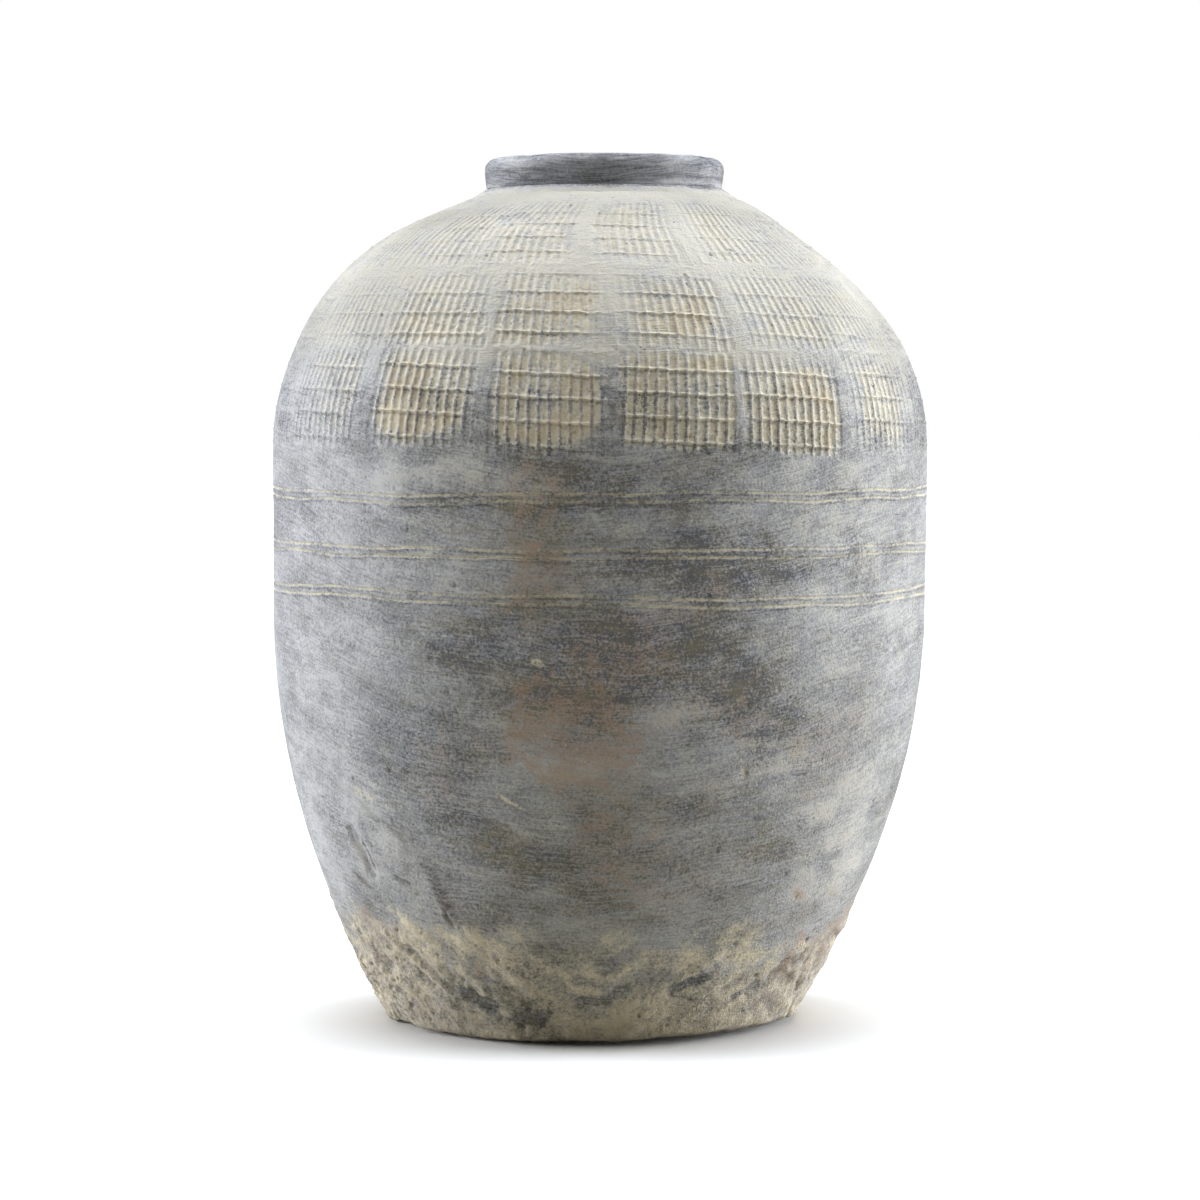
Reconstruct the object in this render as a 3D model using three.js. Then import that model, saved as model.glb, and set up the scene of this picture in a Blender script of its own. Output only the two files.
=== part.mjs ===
// A hand-built concrete vase: a base slab, two cast shells and a collar, bedded in mortar,
// packed with a mortar band round the foot and sealed inside with a waterproof coat.
// Millimetres, +Z up. The origin is on the floor, under the middle of the belly.
import * as THREE from "three";

// Outside form
const height = 460; // floor to rim
const bellyRadius = 175; // the widest part
const footRadius = 108; // where the foot's curve would meet the floor
const bellyLow = 220; // the foot's curve ends and the straight belly begins
const bellyHigh = 310; // the straight belly ends and the shoulder begins
const neckRadius = 67.5; // the shoulder's edge, under the collar
const shoulderFullness = 1.93; // 2 is an ellipse; the shoulder's outside was rubbed down a little flatter

// Walls and coats
const wall = 12; // both shells, measured level, before the shoulder is rubbed down
const slabThickness = 20;
const liningThickness = 2;
const fitGap = 0.3; // between a cast piece and the mortar or the coat that lies against it

// Base joint: the shell stands on the slab in a bed of mortar, round a raised spigot
const baseBed = 3;
const baseSpigotRise = 8;
const baseSpigotSlack = 4; // from the spigot to the shell's inside

// Foot band: mortar packed by hand into a raked-back strip over the base joint
const bandDepth = 4;
const bandBottom = 3;
const bandTop = 48;

// Belly joint: a half-lap between the two shells, hidden between the middle pair of scored lines
const lapBed = 2;
const lapHeight = 10;

// Scored lines: pairs of shallow V cuts round the belly
const lowLines = 232;
const seamLines = 255; // the belly joint runs between these two
const highLines = 283;
const linePitch = 4; // from one line of a pair to the other
const lineWidth = 1.6;
const lineDepth = 0.9;

// Stamps: rows of panels pressed into the shoulder, each crossed by level ridges
const stampsAround = 16;
const stampGap = 2; // degrees of flush skin between two stamps of a row
const stampDepth = 1;
const stampRidge = 0.9; // how far a level ridge stands up in its panel
const stampCell = 12.2; // from one level ridge to the next
const stampStart = 3; // the lowest row's foot is this far below the top of the straight belly
const stampHeadroom = 14; // the least skin between the top row and the neck

// Each row of stamps, from the lowest: its height and the skin above it, both along the shoulder, and
// how many degrees its stamps are shifted to the right at the front, because they were placed by eye
const stampRows = [
  { tall: 53, skin: 1, shift: 1.9 },
  { tall: 46, skin: 6, shift: 3.1 },
  { tall: 59, skin: 0, shift: 0 },
];

// Neck: the collar's spigot drops into the shoulder's hole
const collarHeight = 16.5;
const collarRadius = 64.3;
const collarUndercut = 1; // the collar is this much narrower at its foot
const mouthRadius = 50;
const rimRound = 6; // outer edge of the rim
const lipRound = 4; // inner edge of the rim
const collarBed = 3;
const collarSpigotWall = 3.7;
const collarSpigotDepth = 7;
const holeSlack = 2.3; // from the collar's spigot to the hole's wall

// Lean: how far each height is off the axis, along X, because the vase was built by hand
const footLean = -3;
const shoulderLean = -4.6;
const collarLean = 2.7;
const bellyRun = 40; // the belly stays true this far above bellyHigh
const neckRun = 25; // the shoulder leans most this far below the neck

// Facets
const around = 48;
const footSteps = 9;
const shoulderSteps = 8;
const roundSteps = 3;
const stampColumns = 5; // the bar beside a stamp, its two sides and two columns between them
const skinStep = 12; // between rings of plain skin above the stamps

// Heights that follow from the sizes above
const wallFoot = slabThickness + baseBed;
const floorTop = slabThickness + baseSpigotRise;
const collarFoot = height - collarHeight;
const neck = collarFoot - collarBed;
const seamLow = seamLines - lapBed / 2;
const seamHigh = seamLines + lapBed / 2;

// Radii that follow from the sizes above
const bellyInside = bellyRadius - wall;
const lapLip = (wall - lapBed) / 2;
const collarSpigotRadius = mouthRadius + collarSpigotWall;
const holeRadius = collarSpigotRadius + holeSlack;

// A shoulder is a quarter of an ellipse, or of a flatter curve like one, through the neck's edge.
const shoulderRiseFor = (fullness) =>
  (neck - bellyHigh) / (1 - (neckRadius / bellyRadius) ** fullness) ** (1 / fullness);
const shoulderRise = shoulderRiseFor(2);

const concrete = new THREE.MeshStandardMaterial({ color: 0x8d8f94, roughness: 0.92, metalness: 0 });
const mortar = new THREE.MeshStandardMaterial({ color: 0xb5ab96, roughness: 0.96, metalness: 0 });
const sealer = new THREE.MeshStandardMaterial({ color: 0x6f7174, roughness: 0.7, metalness: 0 });

const at = (radius, z) => new THREE.Vector2(radius, z);

// The outside radius of the foot's curve, a parabola that is upright where it meets the belly.
function footRadiusAt(z) {
  const drop = (bellyLow - z) / bellyLow;
  return bellyRadius - (bellyRadius - footRadius) * drop * drop;
}

// The foot's curve from one height up to another, set in from the outside.
function footCurve(from, to, inset, steps = footSteps) {
  const points = [];
  for (let i = 0; i <= steps; i++) {
    const z = THREE.MathUtils.lerp(from, to, i / steps);
    points.push(at(footRadiusAt(z) - inset, z));
  }
  return points;
}

// The shoulder's outside, from the belly up and in to the neck's edge.
class ShoulderSkin extends THREE.Curve {
  getPoint(share, point = new THREE.Vector2()) {
    const last = Math.acos((neckRadius / bellyRadius) ** (shoulderFullness / 2));
    const power = 2 / shoulderFullness;
    const out = Math.cos(share * last) ** power;
    const up = Math.sin(share * last) ** power;
    return point.set(bellyRadius * out, bellyHigh + shoulderRiseFor(shoulderFullness) * up);
  }
}

// The shoulder's inside: an ellipse from the belly up and in to a radius, set in by the wall and any coat.
function shoulderCurve(toRadius, inset) {
  const last = Math.acos(toRadius / (bellyRadius - inset));
  const ellipse = new THREE.EllipseCurve(
    0,
    bellyHigh,
    bellyRadius - inset,
    shoulderRise - inset,
    0,
    last,
  );
  return ellipse.getPoints(shoulderSteps);
}

// A quarter round of an edge, about a centre, from one angle to another in degrees.
function edgeRound(radius, z, size, from, to) {
  const [start, end] = [from, to].map(THREE.MathUtils.degToRad);
  const arc = new THREE.EllipseCurve(radius, z, size, size, start, end, end < start);
  return arc.getPoints(roundSteps);
}

// One scored line: a V cut into the belly's outside.
function scoredLine(z) {
  return [
    at(bellyRadius, z - lineWidth / 2),
    at(bellyRadius - lineDepth, z),
    at(bellyRadius, z + lineWidth / 2),
  ];
}

const lowerLine = (pair) => scoredLine(pair - linePitch / 2);
const upperLine = (pair) => scoredLine(pair + linePitch / 2);

// How far off the axis the vase is at a height: smooth steps from one station to the next.
function leanAt(z) {
  const stations = [
    [0, footLean],
    [bellyLow, 0],
    [bellyHigh + bellyRun, 0],
    [neck - neckRun, shoulderLean],
    [neck, collarLean],
    [height, collarLean],
  ];
  let lean = stations[0][1];
  for (let i = 1; i < stations.length; i++) {
    const [lowZ, lowLean] = stations[i - 1];
    const [highZ, highLean] = stations[i];
    if (z > lowZ) {
      lean = THREE.MathUtils.lerp(lowLean, highLean, THREE.MathUtils.smoothstep(z, lowZ, highZ));
    }
  }
  return lean;
}

// A turned piece: the outline runs anticlockwise, outside up and inside down, and leans with the vase.
// The press, if there is one, shapes it before it leans.
function turned(name, material, outline, columns = around, press = null) {
  const geometry = new THREE.LatheGeometry(outline, columns);
  geometry.rotateX(Math.PI / 2);
  const place = geometry.getAttribute("position");
  press?.(place);
  for (let i = 0; i < place.count; i++) {
    place.setX(i, place.getX(i) + leanAt(place.getZ(i)));
  }
  geometry.computeVertexNormals();
  const mesh = new THREE.Mesh(geometry, material);
  mesh.name = name;
  return mesh;
}

const closed = (outline) => [...outline, outline[0]];

// The floor of the vase, with a spigot that the lower shell stands round.
const baseSpigotRadius = footRadiusAt(wallFoot) - wall - baseSpigotSlack;

function makeBaseSlab() {
  return turned("base_slab", concrete, [
    at(0, 0),
    ...footCurve(0, slabThickness, bandDepth, 2),
    at(baseSpigotRadius, slabThickness),
    at(baseSpigotRadius, floorTop),
    at(0, floorTop),
  ]);
}

// The mortar under the lower shell and up its inside, to the level of the floor.
function makeBaseMortar() {
  const bed = footCurve(slabThickness + fitGap, wallFoot - fitGap, bandDepth, 1);
  const leg = footCurve(wallFoot - fitGap, floorTop, wall + fitGap, 1);
  const inner = baseSpigotRadius + fitGap;
  return turned(
    "base_mortar_bed",
    mortar,
    closed([at(inner, slabThickness + fitGap), ...bed, ...leg, at(inner, floorTop)]),
  );
}

// The hand-packed band that covers the base joint outside.
function makeFootBand() {
  const outside = footCurve(bandBottom, bandTop - fitGap, 0, 4);
  const inside = footCurve(bandBottom, bandTop - fitGap, bandDepth - fitGap, 4);
  return turned("foot_band", mortar, closed([...outside, ...inside.reverse()]));
}

// The lower half of the body, from the base joint to the belly joint.
function makeLowerBody() {
  const rebate = footCurve(wallFoot, bandTop, bandDepth, 2);
  const outside = footCurve(bandTop, bellyLow, 0);
  const inside = footCurve(wallFoot, bellyLow, wall);
  const lipTop = seamLow + lapHeight;
  return turned(
    "lower_body",
    concrete,
    closed([
      ...rebate,
      ...outside,
      ...lowerLine(lowLines),
      ...upperLine(lowLines),
      ...lowerLine(seamLines),
      at(bellyRadius, seamLow),
      at(bellyInside + lapLip, seamLow),
      at(bellyInside + lapLip, lipTop),
      at(bellyInside, lipTop),
      ...inside.reverse(),
    ]),
  );
}

// The mortar in the half-lap between the shells.
function makeBellyMortar() {
  const legOutside = bellyRadius - lapLip - fitGap;
  const legInside = bellyInside + lapLip + fitGap;
  const low = seamLow + fitGap;
  const high = seamHigh - fitGap;
  return turned(
    "belly_mortar_bed",
    mortar,
    closed([
      at(legInside, low),
      at(bellyRadius, low),
      at(bellyRadius, high),
      at(legOutside, high),
      at(legOutside, high + lapHeight),
      at(bellyInside, high + lapHeight),
      at(bellyInside, low + lapHeight),
      at(legInside, low + lapHeight),
    ]),
  );
}

// The rings of the shoulder's outside, from the belly up: where the skin is, which way is in, how deep
// a stamp is pressed there and how far the row is shifted. Rows that have no room are left out.
function shoulderRings() {
  const skin = new ShoulderSkin();
  const length = skin.getLength();
  const ringAt = (along, depth = 0, shift = 0) => {
    const share = Math.max(along / length, 0);
    const flush = skin.getPointAt(share).add(at(0, Math.min(along, 0)));
    const tangent = skin.getTangentAt(share);
    return { flush, inward: at(-tangent.y, tangent.x), depth, shift };
  };
  const rings = [];
  let foot = -stampStart;
  let top = foot;
  for (const row of stampRows) {
    if (foot + row.tall > length - stampHeadroom) {
      break;
    }
    top = foot + row.tall;
    const steps = 2 * Math.round(row.tall / stampCell);
    for (let i = 0; i <= steps; i++) {
      const onEdge = i === 0 || i === steps;
      const ridge = i % 2 === 0 ? stampRidge : 0;
      const along = THREE.MathUtils.lerp(foot, top, i / steps);
      rings.push(ringAt(along, onEdge ? 0 : stampDepth - ridge, row.shift));
    }
    foot = top + row.skin;
  }
  const plainSteps = Math.ceil((length - top) / skinStep);
  for (let i = 1; i <= plainSteps; i++) {
    rings.push(ringAt(THREE.MathUtils.lerp(top, length, i / plainSteps)));
  }
  return rings;
}

// Presses the stamps into a turned shoulder, column by column: a flush bar, then the columns of the stamp.
function pressStamps(place, perColumn, first, rings) {
  const pitch = 360 / stampsAround;
  const panelStep = (pitch - stampGap) / (stampColumns - 2);
  for (let column = 0; column <= stampsAround * stampColumns; column++) {
    const inStamp = column % stampColumns;
    const across = inStamp === 0 ? 0 : stampGap / 2 + (inStamp - 1) * panelStep;
    const turn = Math.floor(column / stampColumns) * pitch + across;
    const front = Math.cos(THREE.MathUtils.degToRad(turn));
    rings.forEach(({ flush, inward, depth, shift }, i) => {
      const point = flush.clone().addScaledVector(inward, inStamp === 0 ? 0 : depth);
      const angle = THREE.MathUtils.degToRad(turn + shift * front);
      const [x, y] = [point.x * Math.sin(angle), -point.x * Math.cos(angle)];
      place.setXYZ(column * perColumn + first + i, x, y, point.y);
    });
  }
}

// The upper half of the body, from the belly joint to the collar's seat.
function makeShoulder() {
  const inside = shoulderCurve(holeRadius, wall);
  const rings = shoulderRings();
  const below = [
    at(bellyRadius - lapLip, seamHigh),
    at(bellyRadius, seamHigh),
    ...upperLine(seamLines),
    ...lowerLine(highLines),
    ...upperLine(highLines),
  ];
  const outline = closed([
    ...below,
    ...rings.map((ring) => ring.flush),
    at(holeRadius, neck),
    ...inside.reverse(),
    at(bellyInside, seamHigh + lapHeight),
    at(bellyRadius - lapLip, seamHigh + lapHeight),
  ]);
  return turned("shoulder", concrete, outline, stampsAround * stampColumns, (place) =>
    pressStamps(place, outline.length, below.length, rings),
  );
}

// The mortar under the collar and round its spigot, finished outside as a sloping fillet.
function makeCollarMortar() {
  const inner = collarSpigotRadius + fitGap;
  const low = neck + fitGap;
  const high = collarFoot - fitGap;
  return turned(
    "collar_mortar_bed",
    mortar,
    closed([
      at(inner, neck - collarSpigotDepth),
      at(holeRadius - fitGap, neck - collarSpigotDepth),
      at(holeRadius - fitGap, low),
      at(neckRadius, low),
      at(collarRadius - collarUndercut, high),
      at(inner, high),
    ]),
  );
}

// The collar: a short ring with a rounded rim and a spigot below.
function makeCollar() {
  const rim = edgeRound(collarRadius - rimRound, height - rimRound, rimRound, 0, 90);
  const lip = edgeRound(mouthRadius + lipRound, height - lipRound, lipRound, 90, 180);
  const spigotFoot = neck - collarSpigotDepth;
  return turned(
    "collar",
    concrete,
    closed([
      at(mouthRadius, spigotFoot),
      at(collarSpigotRadius, spigotFoot),
      at(collarSpigotRadius, collarFoot),
      at(collarRadius - collarUndercut, collarFoot),
      ...rim,
      ...lip,
    ]),
  );
}

// The waterproof coat brushed over the floor and up the inside to the neck's hole.
function makeLining() {
  const lineFrom = (inset) => [
    ...footCurve(floorTop + inset, bellyLow, wall + inset),
    ...shoulderCurve(holeRadius + inset, wall + inset),
  ];
  const outside = lineFrom(fitGap);
  const inside = lineFrom(fitGap + liningThickness);
  return turned("waterproof_lining", sealer, [
    at(0, floorTop + fitGap),
    ...outside,
    ...inside.reverse(),
    at(0, floorTop + fitGap + liningThickness),
  ]);
}

const foot = new THREE.Group();
foot.add(makeBaseSlab(), makeBaseMortar(), makeFootBand());

const body = new THREE.Group();
body.add(makeLowerBody(), makeBellyMortar(), makeShoulder(), makeLining());

const neckRing = new THREE.Group();
neckRing.add(makeCollarMortar(), makeCollar());

const vase = new THREE.Group();
vase.add(foot, body, neckRing);

export default vase;
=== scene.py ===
"""Looks of a hand-built concrete vase: carved meshes, finishes, a plain studio and a camera.

It is laid out as an add-on and run as a script. The frame is the CAD model's, in metres: +Z is up, the
front faces -Y and the origin is on the floor under the belly. Carving is worked out in millimetres, along
the outline from the floor, and in degrees of turn from the front, positive to the right.
"""

import itertools
import math

import bpy
import numpy as np
from bpy.props import FloatProperty, FloatVectorProperty, IntProperty, PointerProperty
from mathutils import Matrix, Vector
from mathutils.bvhtree import BVHTree


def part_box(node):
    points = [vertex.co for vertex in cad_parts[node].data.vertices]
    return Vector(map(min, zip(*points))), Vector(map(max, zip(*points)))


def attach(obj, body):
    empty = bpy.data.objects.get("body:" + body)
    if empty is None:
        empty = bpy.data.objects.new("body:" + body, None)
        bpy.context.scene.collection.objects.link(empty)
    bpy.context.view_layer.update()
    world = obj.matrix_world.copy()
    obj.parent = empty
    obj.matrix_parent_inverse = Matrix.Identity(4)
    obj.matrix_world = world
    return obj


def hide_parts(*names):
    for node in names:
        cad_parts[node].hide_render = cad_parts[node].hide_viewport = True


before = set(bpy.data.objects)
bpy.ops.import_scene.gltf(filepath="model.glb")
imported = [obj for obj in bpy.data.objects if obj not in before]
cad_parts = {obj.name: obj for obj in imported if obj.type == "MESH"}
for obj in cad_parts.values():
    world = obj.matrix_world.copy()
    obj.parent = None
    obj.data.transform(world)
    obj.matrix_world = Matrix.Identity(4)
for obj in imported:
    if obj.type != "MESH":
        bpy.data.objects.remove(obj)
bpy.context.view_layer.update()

bl_info = {
    "name": "Concrete vase",
    "version": (1, 0, 0),
    "blender": (4, 5, 0),
    "location": "View3D > Sidebar > Vase",
    "description": "Carves and finishes a stamped concrete vase around its CAD model",
    "category": "Add Mesh",
}

MM = 0.001
SEED = 41

# What the carving leaves for the finish to read, each from 0 to 1 at every vertex
MASKS = ("dust", "burnish", "foot", "warm", "veil", "pit", "smooth", "painted_shade")


def smooth_step(low, high, value):
    """0 below low, 1 above high and a smooth rise between them."""
    share = np.clip((value - low) / (high - low), 0, 1)
    return share * share * (3 - 2 * share)


def hump(distance, width):
    """1 at no distance, falling smoothly to about nothing at twice the width."""
    return np.exp(-((distance / width) ** 2))


# Value noise on a lattice, the same on every run

AXIS_PRIMES = np.array([374761393, 668265263, 974634777])
SEED_PRIME = 1440662683
MIXER = 1274126177
LOW_32_BITS = 0xFFFFFFFF
LOW_16_BITS = 0xFFFF


def noise(points, size, seed):
    """Smooth noise from -1 to 1 at points in millimetres, with lumps of about one size."""
    scaled = points / size
    whole = np.floor(scaled)
    part = scaled - whole
    part = part * part * (3 - 2 * part)
    cell = whole.astype(np.int64)
    total = np.zeros(points.shape[:-1])
    for corner in itertools.product((0, 1), repeat=3):
        key = ((cell + corner) * AXIS_PRIMES).sum(-1) + seed * SEED_PRIME
        key = ((key ^ (key >> 15)) * MIXER) & LOW_32_BITS
        key = ((key ^ (key >> 13)) * MIXER) & LOW_32_BITS
        lattice = ((key >> 11) & LOW_16_BITS) / (LOW_16_BITS / 2) - 1
        weight = np.prod(np.where(np.array(corner) == 1, part, 1 - part), axis=-1)
        total += weight * lattice
    return total


def rough_noise(points, size, seed, octaves):
    """Noise with finer lumps added, each octave half the size and half the height of the last."""
    return sum(noise(points, size / 2**n, seed + n) / 2**n for n in range(octaves))


# The CAD model's outside and sections

def cad_tree():
    """All the CAD solids as one tree for rays."""
    points = []
    faces = []
    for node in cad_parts.values():
        start = len(points)
        points.extend(vertex.co for vertex in node.data.vertices)
        faces.extend([start + i for i in face.vertices] for face in node.data.polygons)
    return BVHTree.FromPolygons(points, faces)


class Outline:
    """The vase's outside in section, in millimetres, by the length along it from the floor."""

    RAY_START = 1.0  # metres from the axis, outside the vase
    RAY_OFFSET = 1e-4  # metres off the plane that the CAD vertices lie in
    RAY_STEP = 1.5
    EDGE = 0.2  # rays keep this far from the ends
    DIP = 0.3  # a scored line is deeper than this, and is left out
    STEP = 1.0
    SOFTNESS = 4.0

    def __init__(self):
        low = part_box("foot_band")[0].z / MM + self.EDGE
        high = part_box("shoulder")[1].z / MM - self.EDGE
        heights = np.linspace(low, high, int((high - low) / self.RAY_STEP))
        tree = cad_tree()
        sides = np.array([self.sides_at(tree, z) for z in heights]) / MM
        middle = sides.mean(1)
        radius = (sides[:, 1] - sides[:, 0]) / 2
        flush = radius > self.around(radius) - self.DIP
        heights, middle, radius = heights[flush], middle[flush], radius[flush]
        heights, middle, radius = (self.extended(v, heights, high) for v in (heights, middle, radius))
        along = np.concatenate([[0], np.cumsum(np.hypot(np.diff(radius), np.diff(heights)))])
        self.along = np.arange(0, along[-1], self.STEP)
        self.height, self.radius, self.middle = (
            self.softened(np.interp(self.along, along, v)) for v in (heights, radius, middle)
        )
        self.length = self.along[-1]

    def sides_at(self, tree, height):
        """The left and right of the solids at a height, where rays along X first meet them."""
        found = []
        for way in (1, -1):
            start = Vector((-way * self.RAY_START, self.RAY_OFFSET, height * MM))
            found.append(tree.ray_cast(start, Vector((way, 0, 0)))[0].x)
        return found

    def around(self, values):
        """The running median, which a narrow dip doesn't reach."""
        reach = 3
        padded = np.pad(values, reach, "edge")
        shifted = [padded[i : i + len(values)] for i in range(2 * reach + 1)]
        return np.median(shifted, axis=0)

    def extended(self, values, heights, high):
        """The values carried on in a straight line, down to the floor and up to the neck's edge."""
        low_gap, high_gap = heights[1] - heights[0], heights[-1] - heights[-2]
        first = values[0] + (values[1] - values[0]) * (0 - heights[0]) / low_gap
        last = values[-1] + (values[-1] - values[-2]) * (high + self.EDGE - heights[-1]) / high_gap
        return np.concatenate([[first], values, [last]])

    def softened(self, values):
        """The values with the CAD facets smoothed away."""
        reach = int(3 * self.SOFTNESS / self.STEP)
        kernel = hump(np.arange(-reach, reach + 1) * self.STEP, self.SOFTNESS)
        padded = np.pad(values, reach, "reflect", reflect_type="odd")
        return np.convolve(padded, kernel / kernel.sum(), "valid")

    def at(self, along):
        """Height, radius and middle at lengths along the outline."""
        return tuple(np.interp(along, self.along, v) for v in (self.height, self.radius, self.middle))

    def facing(self, along):
        """How far out and how far up the outside faces at lengths along the outline."""
        out = np.gradient(self.height, self.STEP)
        up = -np.gradient(self.radius, self.STEP)
        size = np.hypot(out, up)
        return np.interp(along, self.along, out / size), np.interp(along, self.along, up / size)

    def along_at(self, height):
        """The length along the outline at a height."""
        return float(np.interp(height, self.height, self.along))


def section_of(node):
    """A turned CAD piece's section: rows of radius, height and middle in order, anticlockwise, in mm.

    It follows the edges that lie in the plane through the axis, on the right-hand side."""
    near_plane = 1e-5
    left_limit = -0.01
    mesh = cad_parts[node].data
    places = [tuple(round(c, 5) for c in vertex.co) for vertex in mesh.vertices]
    sides = {}
    for x, y, z in places:
        if abs(y) < near_plane:
            low, high = sides.get(z, (x, x))
            sides[z] = (min(low, x), max(high, x))
    links = {}
    for edge in mesh.edges:
        ends = [places[i] for i in edge.vertices]
        if all(abs(p[1]) < near_plane and p[0] > left_limit for p in ends) and ends[0] != ends[1]:
            flat = [(p[0], p[2]) for p in ends]
            links.setdefault(flat[0], set()).add(flat[1])
            links.setdefault(flat[1], set()).add(flat[0])
    tips = [p for p, others in links.items() if len(others) == 1]
    here = min(tips or links, key=lambda p: (p[1], p[0]))
    walk = [here]
    while True:
        onward = sorted(p for p in links[here] if p not in walk)
        if not onward:
            break
        here = onward[-1]
        walk.append(here)
    rows = []
    for x, z in walk:
        middle = sum(sides[z]) / 2
        rows.append(((x - middle) / MM, z / MM, middle / MM))
    rows = np.array(rows)
    ahead = np.roll(rows, -1, axis=0)
    area = (rows[:, 0] * ahead[:, 1] - ahead[:, 0] * rows[:, 1]).sum()
    return rows if area > 0 else rows[::-1]


OUTLINE = Outline()
ON_SKIN = 2.0  # a section's corner this near the outline is on the vase's outside
SCORED = 0.6  # a corner on the outside that is this deep is the bottom of a scored line


def buried_corners(section):
    """The corners of a section that are not on the vase's outside, in order after those that are."""
    deep = np.interp(section[:, 1], OUTLINE.height, OUTLINE.radius) - section[:, 0] > ON_SKIN
    first = next(i for i in range(len(deep)) if deep[i] and not deep[i - 1])
    turned = np.roll(np.arange(len(deep)), -first)
    return section[turned][deep[turned]]


def scored_heights():
    """The heights of the scored lines, from the lowest, where the CAD sections dip a little."""
    found = []
    for node in ("lower_body", "shoulder"):
        section = section_of(node)
        dip = np.interp(section[:, 1], OUTLINE.height, OUTLINE.radius) - section[:, 0]
        found.extend(section[(dip > SCORED) & (dip < ON_SKIN), 1])
    return sorted(found)


# Surfaces to carve

WAVER_SIZE = 4.5  # lumps of the noise that makes edges and strokes waver


class Skin:
    """A turned surface to carve: its points, where it faces, its lift in millimetres and its masks."""

    def __init__(self, columns, along, height, radius, middle, out, up):
        self.turn = turns(columns)
        self.along, height, radius, middle, out, up = np.broadcast_arrays(
            *(v if v.shape[1:] == (columns,) else np.repeat(v[:, None], columns, 1)
              for v in (along, height, radius, middle, out, up))
        )
        sine, cosine = np.sin(np.radians(self.turn)), np.cos(np.radians(self.turn))
        self.radius = radius
        self.points = np.stack([middle + radius * sine, -radius * cosine, height], -1)
        self.facing = np.stack([out * sine, -out * cosine, up], -1)
        self.lift = np.zeros(self.along.shape)
        self.masks = {name: np.zeros(self.along.shape) for name in MASKS}
        self.waver = rough_noise(self.points, WAVER_SIZE, 7, 2)

    def carved(self):
        """The points with their lift, in millimetres."""
        return self.points + self.facing * self.lift[..., None]

    def near(self, turn, along, reach):
        """What lies within reach of a spot: its indices, and its distances from it across and up, in mm."""
        rows = np.flatnonzero((self.along.max(1) > along - reach) & (self.along.min(1) < along + reach))
        radius = max(float(OUTLINE.at(along)[1]), reach)
        offset = (self.turn - turn + 180) % 360 - 180
        columns = np.flatnonzero(np.abs(np.radians(offset)) * radius < reach)
        spot = np.ix_(rows, columns)
        return spot, np.radians(offset[columns]) * self.radius[spot], self.along[spot] - along

    def spread(self, mask, spot, amount):
        """Raises a mask to an amount at a spot, where it is lower."""
        self.masks[mask][spot] = np.maximum(self.masks[mask][spot], amount)

    def dent(self, turn, along, size, depth, dust=0.0, shade=0.0, long=1.0):
        """An uneven hollow, longer across by a share, with dust or painted shade in it."""
        spot, across, up = self.near(turn, along, 2.2 * size * max(long, 1))
        apart = np.hypot(across / long, up) / size + 0.4 * self.waver[spot]
        shape = 1 - smooth_step(0.3, 1.15, apart)
        self.lift[spot] -= depth * shape
        self.spread("dust", spot, dust * shape)
        self.spread("pit", spot, shade * shape)

    def line(self, start, end, width, margin):
        """What lies about a line between two spots, out to some widths: its indices, how far it runs along
        the line from the middle, how far it is aside, wavering, and the line's length, in mm."""
        radius = float(OUTLINE.at((start[1] + end[1]) / 2)[1])
        span = np.array([math.radians(end[0] - start[0]) * radius, end[1] - start[1]])
        long = np.hypot(*span)
        middle = ((start[0] + end[0]) / 2, (start[1] + end[1]) / 2)
        spot, across, up = self.near(*middle, long / 2 + margin * width)
        run = (across * span[0] + up * span[1]) / long
        aside = (up * span[0] - across * span[1]) / long + 0.3 * width * self.waver[spot]
        return spot, run, aside, long

    def stroke(self, start, end, width, depth, dust=0.0, curl=0.25, shade=0.0):
        """A wavering groove between two spots, with a little of what was pushed out along its sides."""
        spot, run, aside, long = self.line(start, end, width, 3)
        waver = self.waver[spot]
        aside = np.hypot(aside, np.maximum(np.abs(run) - long / 2, 0))
        taper = smooth_step(0, long / 2.5, long / 2 + width - np.abs(run) + 0.5 * width * waver)
        shape = hump(aside, width / 2) * taper
        self.lift[spot] -= depth * shape
        self.lift[spot] += curl * depth * hump(aside - width, width / 2) * taper
        patchy = np.clip(0.8 + 0.6 * waver, 0, 1)
        self.spread("dust", spot, dust * hump(aside, width * 0.7) * taper * patchy)
        # Painted shade in the groove
        self.spread("pit", spot, shade * shape)


def turns(columns):
    """The turn of each column in degrees, from the back round to the back."""
    return np.linspace(-180, 180, columns, endpoint=False)


def outer_skin(columns, stations):
    """The outside between stations: pairs of a curve along the outline and the row spacing above it."""
    curves = [np.broadcast_to(curve, (columns,)) for curve, _ in stations]
    rows = []
    for (low, high), (_, step) in zip(itertools.pairwise(curves), stations):
        count = max(1, round(float((high - low).mean()) / step))
        rows.extend(low + (high - low) * k / count for k in range(count))
    along = np.array([*rows, curves[-1]])
    return Skin(columns, along, *OUTLINE.at(along), *OUTLINE.facing(along))


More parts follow.
